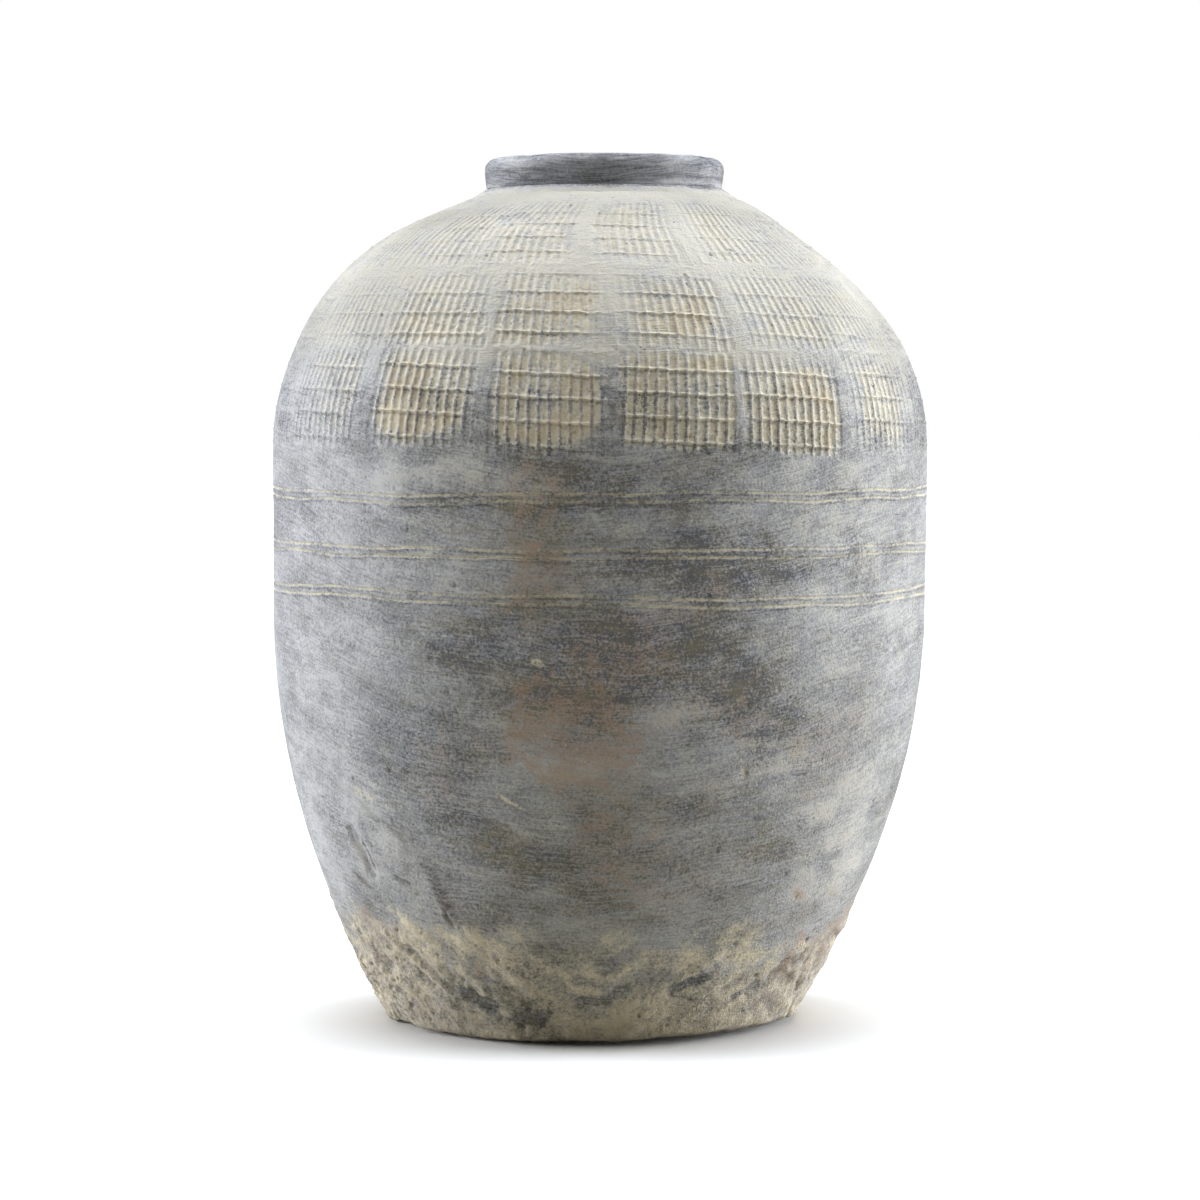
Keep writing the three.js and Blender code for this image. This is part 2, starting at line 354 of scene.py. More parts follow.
def section_skin(columns, section, spacing, softness, open_ends=False):
    """A whole turned piece from its section, with rows at one spacing and its corners rubbed round."""
    loop = section if open_ends else np.vstack([section, section[:1]])
    steps = np.hypot(*np.diff(loop[:, :2], axis=0).T)
    marks = np.concatenate([[0], np.cumsum(steps)])
    along = np.linspace(0, marks[-1], round(marks[-1] / spacing), endpoint=open_ends)
    radius, height, middle = (np.interp(along, marks, loop[:, i]) for i in range(3))
    reach = max(1, round(2.5 * softness / spacing))
    kernel = hump(np.arange(-reach, reach + 1) * spacing, softness)
    kernel /= kernel.sum()
    how = {"mode": "reflect", "reflect_type": "odd"} if open_ends else {"mode": "wrap"}
    radius, height = (np.convolve(np.pad(v, reach, **how), kernel, "valid") for v in (radius, height))
    how_edge = {"mode": "edge"} if open_ends else {"mode": "wrap"}
    rise, run = (np.gradient(np.pad(v, 1, **how_edge))[1:-1] for v in (height, radius))
    size = np.maximum(np.hypot(rise, run), 1e-9)
    return Skin(columns, along, height, radius, middle, rise / size, -run / size)


# Meshes

UV_MARGIN = 0.006
BURIED_SHARE = 0.08  # how much of the map the buried faces get


def buried_rows(node, columns):
    """Rows of points for the buried corners of a CAD piece's section, in millimetres."""
    angle = np.radians(turns(columns))
    rows = [
        np.stack([middle + radius * np.sin(angle), -radius * np.cos(angle), np.full(columns, height)], -1)
        for radius, height, middle in buried_corners(section_of(node))
    ]
    return np.array(rows)


def map_rows(count, shown):
    """Where each row lies across the map, from 0 to 1, and the last one's far side."""
    if shown == count:
        return np.linspace(0, 1, count + 1)
    skin = np.linspace(0, 1 - BURIED_SHARE, shown)
    rest = np.linspace(1 - BURIED_SHARE, 1, count - shown + 2)
    return np.concatenate([skin, rest[1:]])


def unwrapped(row, column, columns, across):
    """Where each face's corners lie on the map: two halves of the turn as strips, one above the other."""
    half = columns // 2
    strip = column // half
    wide = 1 - 2 * UV_MARGIN
    left = UV_MARGIN + wide * (column - strip * half) / half
    right = left + wide / half
    low = (strip + UV_MARGIN + wide * across[row]) / 2
    high = (strip + UV_MARGIN + wide * across[row + 1]) / 2
    corners_u = np.stack([left, right, right, left], -1)
    corners_v = np.stack([low, low, high, high], -1)
    return np.stack([corners_u.ravel(), corners_v.ravel()], -1)


def end_caps(count, columns):
    """Triangles from the first and last rows to two middles, whose points follow those of all the rows."""
    ring = np.arange(columns)
    ahead = (ring + 1) % columns
    foot = np.stack([np.full(columns, count * columns), ahead, ring], -1)
    last = (count - 1) * columns
    head = np.stack([np.full(columns, count * columns + 1), last + ring, last + ahead], -1)
    return np.vstack([foot, head])


def turned_mesh(name, rows, shown, closed=True):
    """A closed mesh of rows of points round the axis. It closes on itself, or at both ends on the axis."""
    count, columns, _ = rows.shape
    row, column = np.meshgrid(np.arange(count if closed else count - 1), np.arange(columns), indexing="ij")
    row, column = row.ravel(), column.ravel()
    beside = (column + 1) % columns
    this_row, next_row = row * columns, (row + 1) % count * columns
    quads = np.stack([this_row + column, this_row + beside, next_row + beside, next_row + column], -1)
    points = rows.reshape(-1, 3) * MM
    corners = quads.ravel()
    starts = np.arange(len(quads)) * 4
    places = unwrapped(row, column, columns, map_rows(count, shown))
    if not closed:
        points = np.vstack([points, rows[0].mean(0) * MM, rows[-1].mean(0) * MM])
        caps = end_caps(count, columns)
        starts = np.concatenate([starts, len(corners) + np.arange(len(caps)) * 3])
        corners = np.concatenate([corners, caps.ravel()])
        places = np.vstack([places, np.full((caps.size, 2), UV_MARGIN / 2)])
    mesh = bpy.data.meshes.new(name)
    mesh.vertices.add(len(points))
    mesh.vertices.foreach_set("co", points.astype(np.float32).ravel())
    mesh.loops.add(len(corners))
    mesh.loops.foreach_set("vertex_index", corners.astype(np.int32))
    mesh.polygons.add(len(starts))
    mesh.polygons.foreach_set("loop_start", starts.astype(np.int32))
    mesh.uv_layers.new(name="OFBake").uv.foreach_set("vector", places.astype(np.float32).ravel())
    mesh.polygons.foreach_set("use_smooth", np.ones(len(starts), bool))
    mesh.update(calc_edges=True)
    mesh.validate()
    return mesh


SHARP = math.radians(55)


def place_piece(name, skin, buried, material, nodes, closed=True):
    """Makes a carved skin and its buried rows into a piece that rides the vase and stands for CAD nodes."""
    skin_rows = skin.carved()
    rows = skin_rows if buried is None else np.concatenate([skin_rows, buried])
    mesh = turned_mesh(name, rows, len(skin_rows), closed)
    mesh.set_sharp_from_angle(angle=SHARP)
    for mask, values in skin.masks.items():
        full = np.zeros(len(mesh.vertices), np.float32)
        full[: values.size] = np.clip(values, 0, 1).ravel()
        mesh.attributes.new(mask, "FLOAT", "POINT").data.foreach_set("value", full)
    mesh.materials.append(material)
    piece = bpy.data.objects.new(name, mesh)
    bpy.context.scene.collection.objects.link(piece)
    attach(piece, "root")
    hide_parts(*nodes)
    return piece


# Shader expressions

class Wire:
    """A socket of a node tree. Python's operators on it add the nodes that work an expression out."""

    def __init__(self, tree, socket=None):
        self.tree = tree
        self.socket = socket

    def node(self, kind, settings=None, sockets=None, output=0):
        """Adds a node of any kind: its settings are set first, then its sockets take values or links."""
        made = self.tree.nodes.new(kind)
        for name, value in (settings or {}).items():
            setattr(made, name, value)
        for key, value in (sockets or {}).items():
            if isinstance(value, Wire):
                self.tree.links.new(value.socket, made.inputs[key])
            else:
                made.inputs[key].default_value = value
        return Wire(self.tree, made.outputs[output] if made.outputs else None)

    def worked(self, operation, first, second):
        """A Math node, or a Vector Math node where either side is a vector."""
        sides = (first, second)
        vectors = [isinstance(s, Wire) and s.socket.type != "VALUE" or isinstance(s, tuple) for s in sides]
        wide = any(vectors)
        if wide:
            sides = tuple((s,) * 3 if isinstance(s, (int, float)) else s for s in sides)
        kind = "ShaderNodeVectorMath" if wide else "ShaderNodeMath"
        return self.node(kind, {"operation": operation}, dict(enumerate(sides)))

    def __add__(self, other):
        return self.worked("ADD", self, other)

    def __radd__(self, other):
        return self.worked("ADD", other, self)

    def __sub__(self, other):
        return self.worked("SUBTRACT", self, other)

    def __rsub__(self, other):
        return self.worked("SUBTRACT", other, self)

    def __mul__(self, other):
        return self.worked("MULTIPLY", self, other)

    def __rmul__(self, other):
        return self.worked("MULTIPLY", other, self)

    def dot(self, other):
        """How far this vector runs along another."""
        return self.node("ShaderNodeVectorMath", {"operation": "DOT_PRODUCT"}, {0: self, 1: other}, "Value")

    def rise(self, low, high):
        """0 below low, 1 above high and a smooth rise between them."""
        limits = {"Value": self, "From Min": low, "From Max": high}
        return self.node("ShaderNodeMapRange", {"interpolation_type": "SMOOTHSTEP"}, limits)

    def blend(self, low, high):
        """A colour between two, by this share."""
        shares = {0: self, 6: low, 7: high}
        return self.node("ShaderNodeMix", {"data_type": "RGBA", "blend_type": "MIX"}, shares, 2)

    def cloud(self, size, detail=4.0, roughness=0.55):
        """Noise from 0 to 1 at this place, with lumps of about a size in metres."""
        sockets = {"Vector": self, "Scale": 1 / size, "Detail": detail, "Roughness": roughness}
        return self.node("ShaderNodeTexNoise", {"noise_dimensions": "3D"}, sockets)

    def swing(self, size, detail=4.0, roughness=0.55):
        """Noise about nothing, mostly between -1 and 1."""
        return (self.cloud(size, detail, roughness) - 0.5) * 4.0

    def specks(self, size):
        """The distance to the nearest of scattered points, as a share of their spacing in metres."""
        sockets = {"Vector": self, "Scale": 1 / size, "Randomness": 1.0}
        return self.node("ShaderNodeTexVoronoi", {"feature": "F1"}, sockets)

    def mask(self, name):
        """One of the carving's masks."""
        settings = {"attribute_type": "GEOMETRY", "attribute_name": name}
        return self.node("ShaderNodeAttribute", settings, output="Fac")


def new_finish(name):
    """An empty material and a wire to build its nodes from."""
    material = bpy.data.materials.new(name)
    material.use_nodes = True
    material.node_tree.nodes.clear()
    return material, Wire(material.node_tree)


def surface(wire, colour, roughness, height, depth):
    """Closes a finish: a matt surface with a colour, a roughness and a bump of a height in metres."""
    bump = wire.node("ShaderNodeBump", None, {"Strength": 1.0, "Distance": depth, "Height": height})
    matt = {"Base Color": colour, "Roughness": roughness, "Specular IOR Level": 0.25, "Normal": bump}
    shader = wire.node("ShaderNodeBsdfPrincipled", None, matt)
    wire.node("ShaderNodeOutputMaterial", None, {"Surface": shader})


def finish_of(maker):
    """The finish named after its maker, made the first time that a piece asks for it."""
    return bpy.data.materials.get(maker.__name__) or maker(maker.__name__)


def solid(colour):
    """A colour property as a socket takes it."""
    return (*colour, 1.0)


# Finishes

SWEEP = 1.3  # how fast the rubbed strokes rise towards the vase's sides, per metre


def rubbed_concrete(name):
    """The outside: burnished slate skin, a dusty film, brown tints, chalky dust in cuts, a sandy foot, and
    painted light and shade.
    """
    tint = bpy.context.scene.vase_colours
    material, wire = new_finish(name)
    place = wire.node("ShaderNodeTexCoord", output="Object")
    aside = (place * place).dot((1.0, 0.0, 0.0))
    swept = place + (0.0, 0.0, 1.0) * (place.swing(0.07, 2.0) * 0.004 - aside * SWEEP)
    calm = 1.0 - aside.rise(0.004, 0.02) * 0.35
    high = place.dot((0.0, 0.0, 1.0))
    cool = place.dot((-1.0, 0.0, 0.0)).rise(0.03, 0.15) * (1.0 - high.rise(0.33, 0.38))
    low = 1.0 - high.rise(0.05, 0.16)
    flat = place * (1.0, 1.0, 2.0)
    dust, burnish, foot, warm, veil, pit, smooth, painted_shade = (wire.mask(name) for name in MASKS)
    patch = place.swing(0.1, 3.0) * calm * calm
    mottle = flat.swing(0.036, 4.0, 0.58) * calm
    strokes = (swept * (1.0, 1.0, 8.0)).swing(0.06, 5.0, 0.62)
    hairs = (swept * (1.0, 1.0, 18.0)).swing(0.014, 3.0, 0.7)
    grain = place.swing(0.0014, 2.0, 0.7) * (1.0 - smooth * 0.6)
    fleck = place.swing(0.006, 6.0, 0.7) * (1.0 - smooth * 0.5)

    hue = flat.swing(0.016, 6.0, 0.7) * calm
    fine = strokes * 0.15 + hairs * 0.34 + fleck * 0.14 + grain * 0.45
    veil = veil * (1.0 + (fleck * 0.6 + strokes * 0.5 + mottle * 0.3) * (1.0 - veil))
    # The burnish darkens and the veil pales: each is partly real and partly painted shade or painted light,
    # as laid by the carving.
    tone = 0.43 + patch * 0.2 + mottle * 0.27 + fine * (0.7 + burnish * 0.5)
    tone = tone - burnish * 0.37 + veil * 0.54 + cool * 0.06
    warmth = 0.55 + hue * 0.9 + grain * 0.2 + warm * 0.5 + low * 0.28
    warmth = warmth - cool * 0.4 - smooth * 0.4 - burnish * 0.4
    slate = warmth.blend(solid(tint.slate), solid(tint.olive))
    colour = tone.blend(slate, solid(tint.ash))
    film = veil * 0.8 - burnish * 0.2 + mottle * 0.3 + strokes * 0.2 + fleck * 0.3 + hairs * 0.2 + hue * 0.3
    film = (film + grain * 0.25).rise(0.0, 1.0)
    filmy = (cool * 0.9 + smooth * 0.7).blend(solid(tint.film), solid(tint.ash))
    colour = (film * (0.55 + veil * 0.25)).blend(colour, filmy)
    brown = warm * (0.95 + fleck * 0.7 + mottle * 0.5 + hairs * 0.4) + mottle * 0.2 + fleck * 0.3
    brown = (brown + grain * 0.25).rise(0.2, 1.1)
    colour = (brown * 0.6).blend(colour, solid(tint.umber))
    sand = 0.62 - warm * 0.5 + mottle * 0.35 + fleck * 0.5 + grain * 0.4
    sand = sand.blend(solid(tint.mud), solid(tint.sand))
    sandy = (foot * (1.0 + fleck * 0.7 + mottle * 0.4 + grain * 0.4)).rise(0.0, 0.95)
    colour = (sandy * 0.84).blend(colour, sand)
    chalk = (dust * (1.0 + grain * 0.7 + fleck * 0.3 + mottle * 0.2)).rise(0.1, 0.85)
    dusty = (warm * 0.6 + fleck * 0.6 + grain * 0.4 - 0.1).blend(solid(tint.chalk), solid(tint.tan))
    colour = (chalk * 0.78).blend(colour, dusty)
    crumbs = 1.0 - place.specks(0.004).rise(0.08, 0.2)
    crumbs = crumbs * place.cloud(0.018, 3.0).rise(0.5, 0.62)
    colour = (crumbs * 0.45).blend(colour, solid(tint.chalk))
    # Dark pit colour in the bumped holes and the carved hollows: painted shade
    holes = 1.0 - place.specks(0.0065).rise(0.05, 0.14)
    holes = holes * place.cloud(0.024, 2.0).rise(0.5, 0.6)
    # The last factor is painted shade, darkening the colour by up to 30%.
    colour = (holes * 0.45 + pit * 0.7).blend(colour, solid(tint.pit)) * (1.0 - painted_shade * 0.3)

    roughness = 0.8 + film * 0.08 + chalk * 0.08 - burnish * 0.12
    height = grain * 0.3 + hairs * 0.35 + fleck * 0.45 + strokes * 0.2 - holes
    surface(wire, colour, roughness, height, 0.0004)
    return material


def joint_mortar(name):
    """The beds: pale, sandy mortar."""
    tint = bpy.context.scene.vase_colours
    material, wire = new_finish(name)
    place = wire.node("ShaderNodeTexCoord", output="Object")
    grain = place.cloud(0.0012, 4.0, 0.65)
    mottle = place.cloud(0.012, 4.0)
    colour = (grain * 0.6 + mottle * 0.7).rise(0.35, 0.95).blend(solid(tint.sand), solid(tint.chalk))
    surface(wire, colour, 0.9 + grain * 0.08, grain + mottle, 0.0006)
    return material


def slurry(name):
    """The coat inside: dark cement slurry with brush marks."""
    tint = bpy.context.scene.vase_colours
    material, wire = new_finish(name)
    place = wire.node("ShaderNodeTexCoord", output="Object")
    brushed = (place * (1.0, 1.0, 11.0)).cloud(0.06, 6.0, 0.65)
    mottle = place.cloud(0.03, 4.0)
    colour = (brushed * 0.7 + mottle * 0.6).rise(0.4, 0.95).blend(solid(tint.slurry), solid(tint.slate))
    surface(wire, colour, 0.55 + brushed * 0.25, brushed, 0.0008)
    return material


# Settings

def srgb(red, green, blue):
    """A colour from 0 to 255 as a screen shows it, in linear light."""
    shares = (red / 255, green / 255, blue / 255)
    return tuple(s / 12.92 if s <= 0.04045 else ((s + 0.055) / 1.055) ** 2.4 for s in shares)


def length(name, description, millimetres):
    """A length property, given in millimetres."""
    metres = millimetres * MM
    return FloatProperty(
        name=name, description=description, default=metres, unit="LENGTH", subtype="DISTANCE", precision=5
    )


def degrees(name, description, value):
    """An angle property, given in degrees."""
    return FloatProperty(name=name, description=description, default=math.radians(value), subtype="ANGLE")


def lamp_level(name, description, value):
    """A property for a lamp's level, where 1 is plain."""
    return FloatProperty(name=name, description=description + ", 1 is plain", default=value)


def paint(name, description, red, green, blue):
    """A colour property, given as a screen shows it."""
    linear = srgb(red, green, blue)
    return FloatVectorProperty(
        name=name, description=description, default=linear, subtype="COLOR", min=0.0, max=1.0
    )


class VaseShape(bpy.types.PropertyGroup):
    """Sizes of what is stamped, scored and worn into the vase."""

    stamp_pitch: degrees("Stamp pitch", "Turn from one stamp to the next", 22.5)
    cells_across: IntProperty(name="Cells across", description="Cells across a stamp", default=12, min=1)
    cell_height: length("Cell height", "Height of a stamp's cells", 12.2)
    bar_width: length("Bar width", "Width of a stamp's upright bars at their foot", 2.6)
    rung_width: length("Rung width", "Width of a stamp's level ridges at their foot", 2.3)
    stamp_depth: length("Stamp depth", "Depth of a stamp's cells", 1.0)
    line_width: length("Line width", "Width of a scored line", 1.05)
    line_depth: length("Line depth", "Depth of a scored line", 0.55)
    wobble: length("Wobble", "How far the hand-made wall wanders", 0.9)
    foot_roughness: length("Foot roughness", "Height of the lumps on the foot", 1.5)


class VaseColours(bpy.types.PropertyGroup):
    """Colours of the vase's finishes."""

    slate: paint("Slate", "Burnished skin where it is coolest", 84, 86, 93)
    olive: paint("Olive", "Burnished skin where it is warmest", 110, 106, 90)
    ash: paint("Ash", "Rubbed skin", 192, 194, 200)
    film: paint("Film", "Dusty film over the skin", 197, 193, 178)
    chalk: paint("Chalk", "Pale dust in the cuts", 224, 217, 197)
    tan: paint("Tan", "Coarser dust where the stamps bit deepest", 197, 187, 160)
    umber: paint("Umber", "Brown tints", 152, 125, 103)
    sand: paint("Sand", "Sandy mortar of the foot", 228, 216, 188)
    mud: paint("Mud", "Darker smears on the foot", 173, 166, 157)
    # Painted shade in pits, hollows and grooves
    pit: paint("Pit", "Small open pits", 82, 73, 62)
    slurry: paint("Slurry", "The coat inside", 62, 62, 65)
    lamp: paint("Lamp", "Light of the lamps", 250, 252, 255)
    floor: paint("Floor", "The studio floor as the camera sees it", 243, 243, 243)
    bounce: paint("Bounce", "The studio floor as it lights the vase", 166, 163, 151)


class VaseStudio(bpy.types.PropertyGroup):
    """The camera and the lamps."""

    distance: length("Distance", "From the camera to the vase's axis", 2098)
    eye_height: length("Eye height", "Height of the camera", 328.7)
    tilt: degrees("Tilt", "How far the camera looks down", 2.86)
    lens: FloatProperty(name="Lens", description="Focal length", default=117.0, unit="CAMERA")
    side_light: lamp_level("Side light", "Light from each side", 2.2)
    top_light: lamp_level("Top light", "Light from above", 1.36)
    fill_light: lamp_level("Fill light", "Light from all round", 0.04)


# Carving

LINE_REACH = 2.4  # rows are finer this far to each side of a scored line
LINE_STEP = 0.42
LINE_DRIFTS = (-1.7, -0.5, 0.4)  # how far each pair of lines rises from the middle to the right
SEAM_LIP = 2.5  # depth of the coat drawn over the belly joint
LIP_GAP = 0.4  # from that coat to the mortar behind it


def wander(columns, seed, size, low=2, high=14):
    """A closed hand-drawn wander round the vase, in millimetres about nothing."""
    draw = np.random.default_rng(SEED + seed)
    angle = np.radians(turns(columns))
    total = np.zeros(columns)
    for beat in range(low, high + 1):
        phase = draw.uniform(0, 2 * math.pi)
        total += draw.normal() * np.cos(beat * angle + phase) * low / beat
    return size * total


def scored_curves(columns):
    """The six scored lines, from the lowest, as curves along the outline."""
    across = np.sin(np.radians(turns(columns)))
    curves = []
    for i, height in enumerate(scored_heights()):
        pair = i // 2
        shared = wander(columns, 10 + pair, 0.55) + LINE_DRIFTS[pair] * across
        own = wander(columns, 20 + i, 0.12, 9, 40)
        curves.append(OUTLINE.along_at(height) + shared + own)
    return curves


def score(skin, shape, curves, grit):
    """Cuts the scored lines, with a burr along each, patchy dust in it and painted shade just below it."""
    width, depth = shape.line_width / MM, shape.line_depth / MM
    patchy = np.clip(0.66 + 0.35 * rough_noise(skin.points, 16, 33, 3) + 0.3 * grit, 0.4, 0.95)
    for curve in curves:
        aside = skin.along - curve
        cut = hump(aside, width / 2)
        skin.lift += depth * (0.4 * hump(np.abs(aside) - width * 0.9, width * 0.4) - cut)
        skin.spread("dust", np.s_[:], hump(aside, width * 0.75) * patchy)
        # Painted shade just below each line
        skin.spread("burnish", np.s_[:], 0.5 * hump(aside + width * 1.4, width * 0.6))


WOBBLES = ((1.0, 150), (0.45, 48), (0.14, 13))  # shares of the wander, and the size of its lumps


def wobble(skin, shape):
    """Lets the wall wander as a hand-built one does."""
    for seed, (share, lump) in enumerate(WOBBLES, 1):
        skin.lift += shape.wobble / MM * share * noise(skin.points, lump, seed)


# Soft patches of tone that show on the front, by mask: turn, along, reach across and up in mm, strength
# Some of these are painted light and shade: the burnish patches in the middle of the front are partly painted
# shade, and the veils on the sides are partly painted light.
FRONT_TONES = {
    "burnish": (
        (-8, 300, 50, 15, 0.5),
        (22, 263, 62, 14, 0.8),
        (2, 214, 85, 22, 0.9),
        (-25, 180, 45, 26, 0.5),
        (26, 188, 48, 32, 0.5),
        (-20, 96, 60, 22, 0.35),
        (14, 112, 55, 26, 0.4),
        (-8, 222, 50, 12, 1.0),
        (-10, 112, 40, 34, 0.5),
        (-24, 130, 44, 40, 0.5),
        (33, 113, 34, 8, 0.65),
    ),
    "veil": (
        (-27, 304, 44, 10, 0.75),
        (-46, 262, 44, 26, 0.36),
        (46, 288, 46, 28, 0.38),
        (46, 133, 17, 9, 0.85),
        (14, 190, 18, 9, 0.4),
        (-40, 226, 36, 20, 0.28),
        (-58, 185, 30, 60, 0.35),
        (62, 200, 26, 70, 0.3),
        (30, 158, 30, 16, 0.35),
        (-6, 160, 20, 10, 0.3),
        (-45, 122, 22, 30, 0.6),
        (-68, 120, 24, 60, 0.4),
        (56, 120, 32, 44, 0.6),
        (-50, 300, 40, 18, 0.36),
        (42, 225, 30, 34, 0.3),
        (-10, 371, 60, 9, 0.75),
        (15, 371, 50, 8, 0.6),
        (-66, 92, 24, 20, 0.45),
        (-60, 345, 46, 34, 0.5),
        (-32, 350, 30, 26, 0.5),
        (13, 345, 26, 22, 0.4),
        (62, 350, 46, 40, 0.4),
    ),
    "warm": (
        (-11, 262, 22, 56, 0.72),
        (-10, 195, 22, 30, 0.75),
        (-3, 155, 44, 44, 0.75),
        (-14, 120, 32, 18, 0.5),
        (-50, 36, 60, 46, 0.8),
        (20, 12, 60, 12, 0.15),
        (2, 190, 90, 60, 0.4),
        (10, 110, 90, 34, 0.4),
        (48, 160, 40, 70, 0.3),
        (60, 36, 44, 44, 0.95),
    ),
    "foot": (
        (-39, 55, 12, 9, 0.8),
        (-29, 60, 14, 7, 0.7),
        (-12, 51, 18, 10, 0.7),
        (-1.5, 47, 12, 6, 0.7),
        (-2, 35, 12, 6, 0.65),
        (3, 67, 12, 6, 0.4),
        (14, 52, 12, 7, 0.55),
        (22, 50, 12, 9, 0.85),
        (28, 37, 10, 8, 0.75),
        (36, 54, 18, 8, 0.8),
        (44, 44, 12, 10, 0.8),
        (56, 52, 12, 8, 0.8),
        (28, 13, 60, 11, 0.85),
    ),
}

# Seeded patches round the back: how many, their masks, and the ranges that they are drawn from
BACK_TONES = 26
BACK_MASKS = ("burnish", "burnish", "veil", "veil", "warm")
BACK_TURNS, BACK_ALONG = (72, 288), (85, 310)
BACK_WIDE, BACK_TALL, BACK_STRENGTH = (24, 85), (10, 24), (0.3, 0.7)
VEIL_SHARE = 0.6  # a veil there is laid on thinner

# Where dust settles and painted shade darkens it: ranges along the outline in mm, or of the turn to either
# side
DOME = (330, 395)
COLLAR_SHADE = (450, 485)
BEHIND = (78, 95)
FOOT_TOP = (60, 90)
HAUNCH_TURN, HAUNCH_WIDTH = 54, 22
BROW_TURN, BROW_WIDTH = 82, 9
FLANK_TURN, FLANK_WIDTH = 76, 15
FLANK_FROM, FLANK_TO, FLANK_FULL = (290, 320), (372, 405), (335, 365)


def tones():
    """The patches of the front, and seeded ones like them round the back."""
    draw = np.random.default_rng(SEED + 3)
    found = [(mask, *patch) for mask, patches in FRONT_TONES.items() for patch in patches]
    for _ in range(BACK_TONES):
        mask = draw.choice(BACK_MASKS)
        ranges = (BACK_TURNS, BACK_ALONG, BACK_WIDE, BACK_TALL, BACK_STRENGTH)
        turn, along, wide, tall, strength = (draw.uniform(*limits) for limits in ranges)
        found.append((mask, turn, along, wide, tall, strength * (VEIL_SHARE if mask == "veil" else 1)))
    return found


def tone(skin):
    """Lays the ragged patches of tone, then the dome's dust, partly painted light, and painted shade round
    the sides, the back and under the collar.
    """
    ragged = rough_noise(skin.points, 26, 31, 4)
    for mask, turn, along, wide, tall, strength in tones():
        spot, across, up = skin.near(turn, along, 2.2 * max(wide, tall))
        apart = np.hypot(across / wide, up / tall) + 0.8 * ragged[spot]
        skin.spread(mask, spot, strength * (1 - smooth_step(0.2, 1.5, apart)))
    # The dome's settled dust, paler on top: partly dust, partly painted light from above
    settled = smooth_step(*DOME, skin.along + 20 * ragged)
    skin.masks["veil"] += (0.9 + 0.1 * hump(skin.turn, 35)) * settled
    # Painted shade that darkens the colour: on the shoulder's sides, round the back, under the collar and on
    # the flanks
    round_side = np.abs(skin.turn)
    shade_paint = skin.masks["painted_shade"]
    shade_paint += settled * 0.85 * hump(round_side - HAUNCH_TURN, HAUNCH_WIDTH)
    shade_paint += settled * 0.6 * hump(round_side - BROW_TURN, BROW_WIDTH)
    behind = smooth_step(*BEHIND, round_side)
    shade_paint += behind * (0.4 + 0.25 * (1 - smooth_step(*FOOT_TOP, skin.along)) + 0.6 * settled)
    shade_paint += 0.55 * smooth_step(*COLLAR_SHADE, skin.along + 8 * ragged)
    flank = smooth_step(*FLANK_FROM, skin.along) * (1 - smooth_step(*FLANK_TO, skin.along))
    flank *= 0.4 + 0.5 * smooth_step(*FLANK_FULL, skin.along)
    shade_paint += flank * hump(round_side - FLANK_TURN, FLANK_WIDTH)


# Marks that show on the front: turn and along of each end, width, depth, dust, painted shade
FRONT_STROKES = (
    ((-19, 150), (-9.5, 132), 1.8, 0.45, 0.8, 0.0),
    ((-20, 149), (-13, 138), 1.2, 0.3, 0.4, 0.0),
    ((-51, 143), (-36, 116), 2.0, 0.8, 0.0, 0.5),
    ((-50, 140), (-40, 121), 2.0, 0.6, 0.35, 0.0),
    ((-50, 145), (-40, 135), 5.0, 0.6, 0.55, 0.0),
    ((-44, 152), (-40, 147), 1.8, 0.5, 0.3, 0.35),
    ((-52.8, 122), (-49.2, 97), 7.0, 1.4, 0.0, 0.15),
    ((-50.4, 117), (-47.8, 98), 2.2, 1.2, 0.0, 0.8),
    ((-56, 94), (-51, 88), 1.8, 0.8, 0.0, 0.8),
    ((-57, 97), (-52, 91), 1.8, 0.8, 0.0, 0.8),
    ((-43, 98), (-38.5, 93), 2.2, 0.9, 0.0, 0.8),
    ((-32, 81), (-30.6, 72), 2.6, 1.0, 0.0, 0.8),
    ((30, 205), (40, 214), 1.4, 0.25, 0.3, 0.0),
    ((44, 170), (55, 186), 1.6, 0.3, 0.3, 0.0),
    ((-30, 222), (-18, 214), 1.4, 0.2, 0.3, 0.0),
)

# Hollows and crumbs on the front: turn, along, size, depth, dust, painted shade, and width for their height
FRONT_DENTS = (
    (-10, 214, 2.8, 0.4, 0.65, 0.0, 1.5),
    (-7.5, 213, 1.2, 0.8, 0.0, 0.6, 1.2),
    (26, 157, 3.0, 0.9, 0.55, 0.0, 0.9),
    (24.5, 160, 1.3, 0.9, 0.0, 0.5, 1.0),
    (23, 117, 1.7, 1.4, 0.0, 0.8, 1.0),
    (-20, 168, 1.3, 0.6, 0.1, 0.3, 1.0),
    (40, 100, 1.6, 0.8, 0.2, 0.4, 1.0),
    (18, 318, 1.4, 0.8, 0.3, 0.4, 1.0),
)

# The skidding tool's marks on the front: the first and last nick's middle, how many, and each one's ends
SKID_START, SKID_END, SKID_NICKS = (-33.6, 104), (-31, 80), 7
NICK_TURN, NICK_RISE, NICK_FALL = 1.9, 2.4, 1.6
NICK_WIDTH, NICK_DEPTH = 1.5, 1.0


def chatter(skin):
    """The short slanted nicks of a skidding tool, one after another, with painted shade in them."""
    for share in np.linspace(0, 1, SKID_NICKS):
        turn = SKID_START[0] + (SKID_END[0] - SKID_START[0]) * share
        along = SKID_START[1] + (SKID_END[1] - SKID_START[1]) * share
        high, low = (turn - NICK_TURN, along + NICK_RISE), (turn + NICK_TURN, along - NICK_FALL)
        skin.stroke(high, low, NICK_WIDTH, NICK_DEPTH, curl=0.6, shade=0.75)


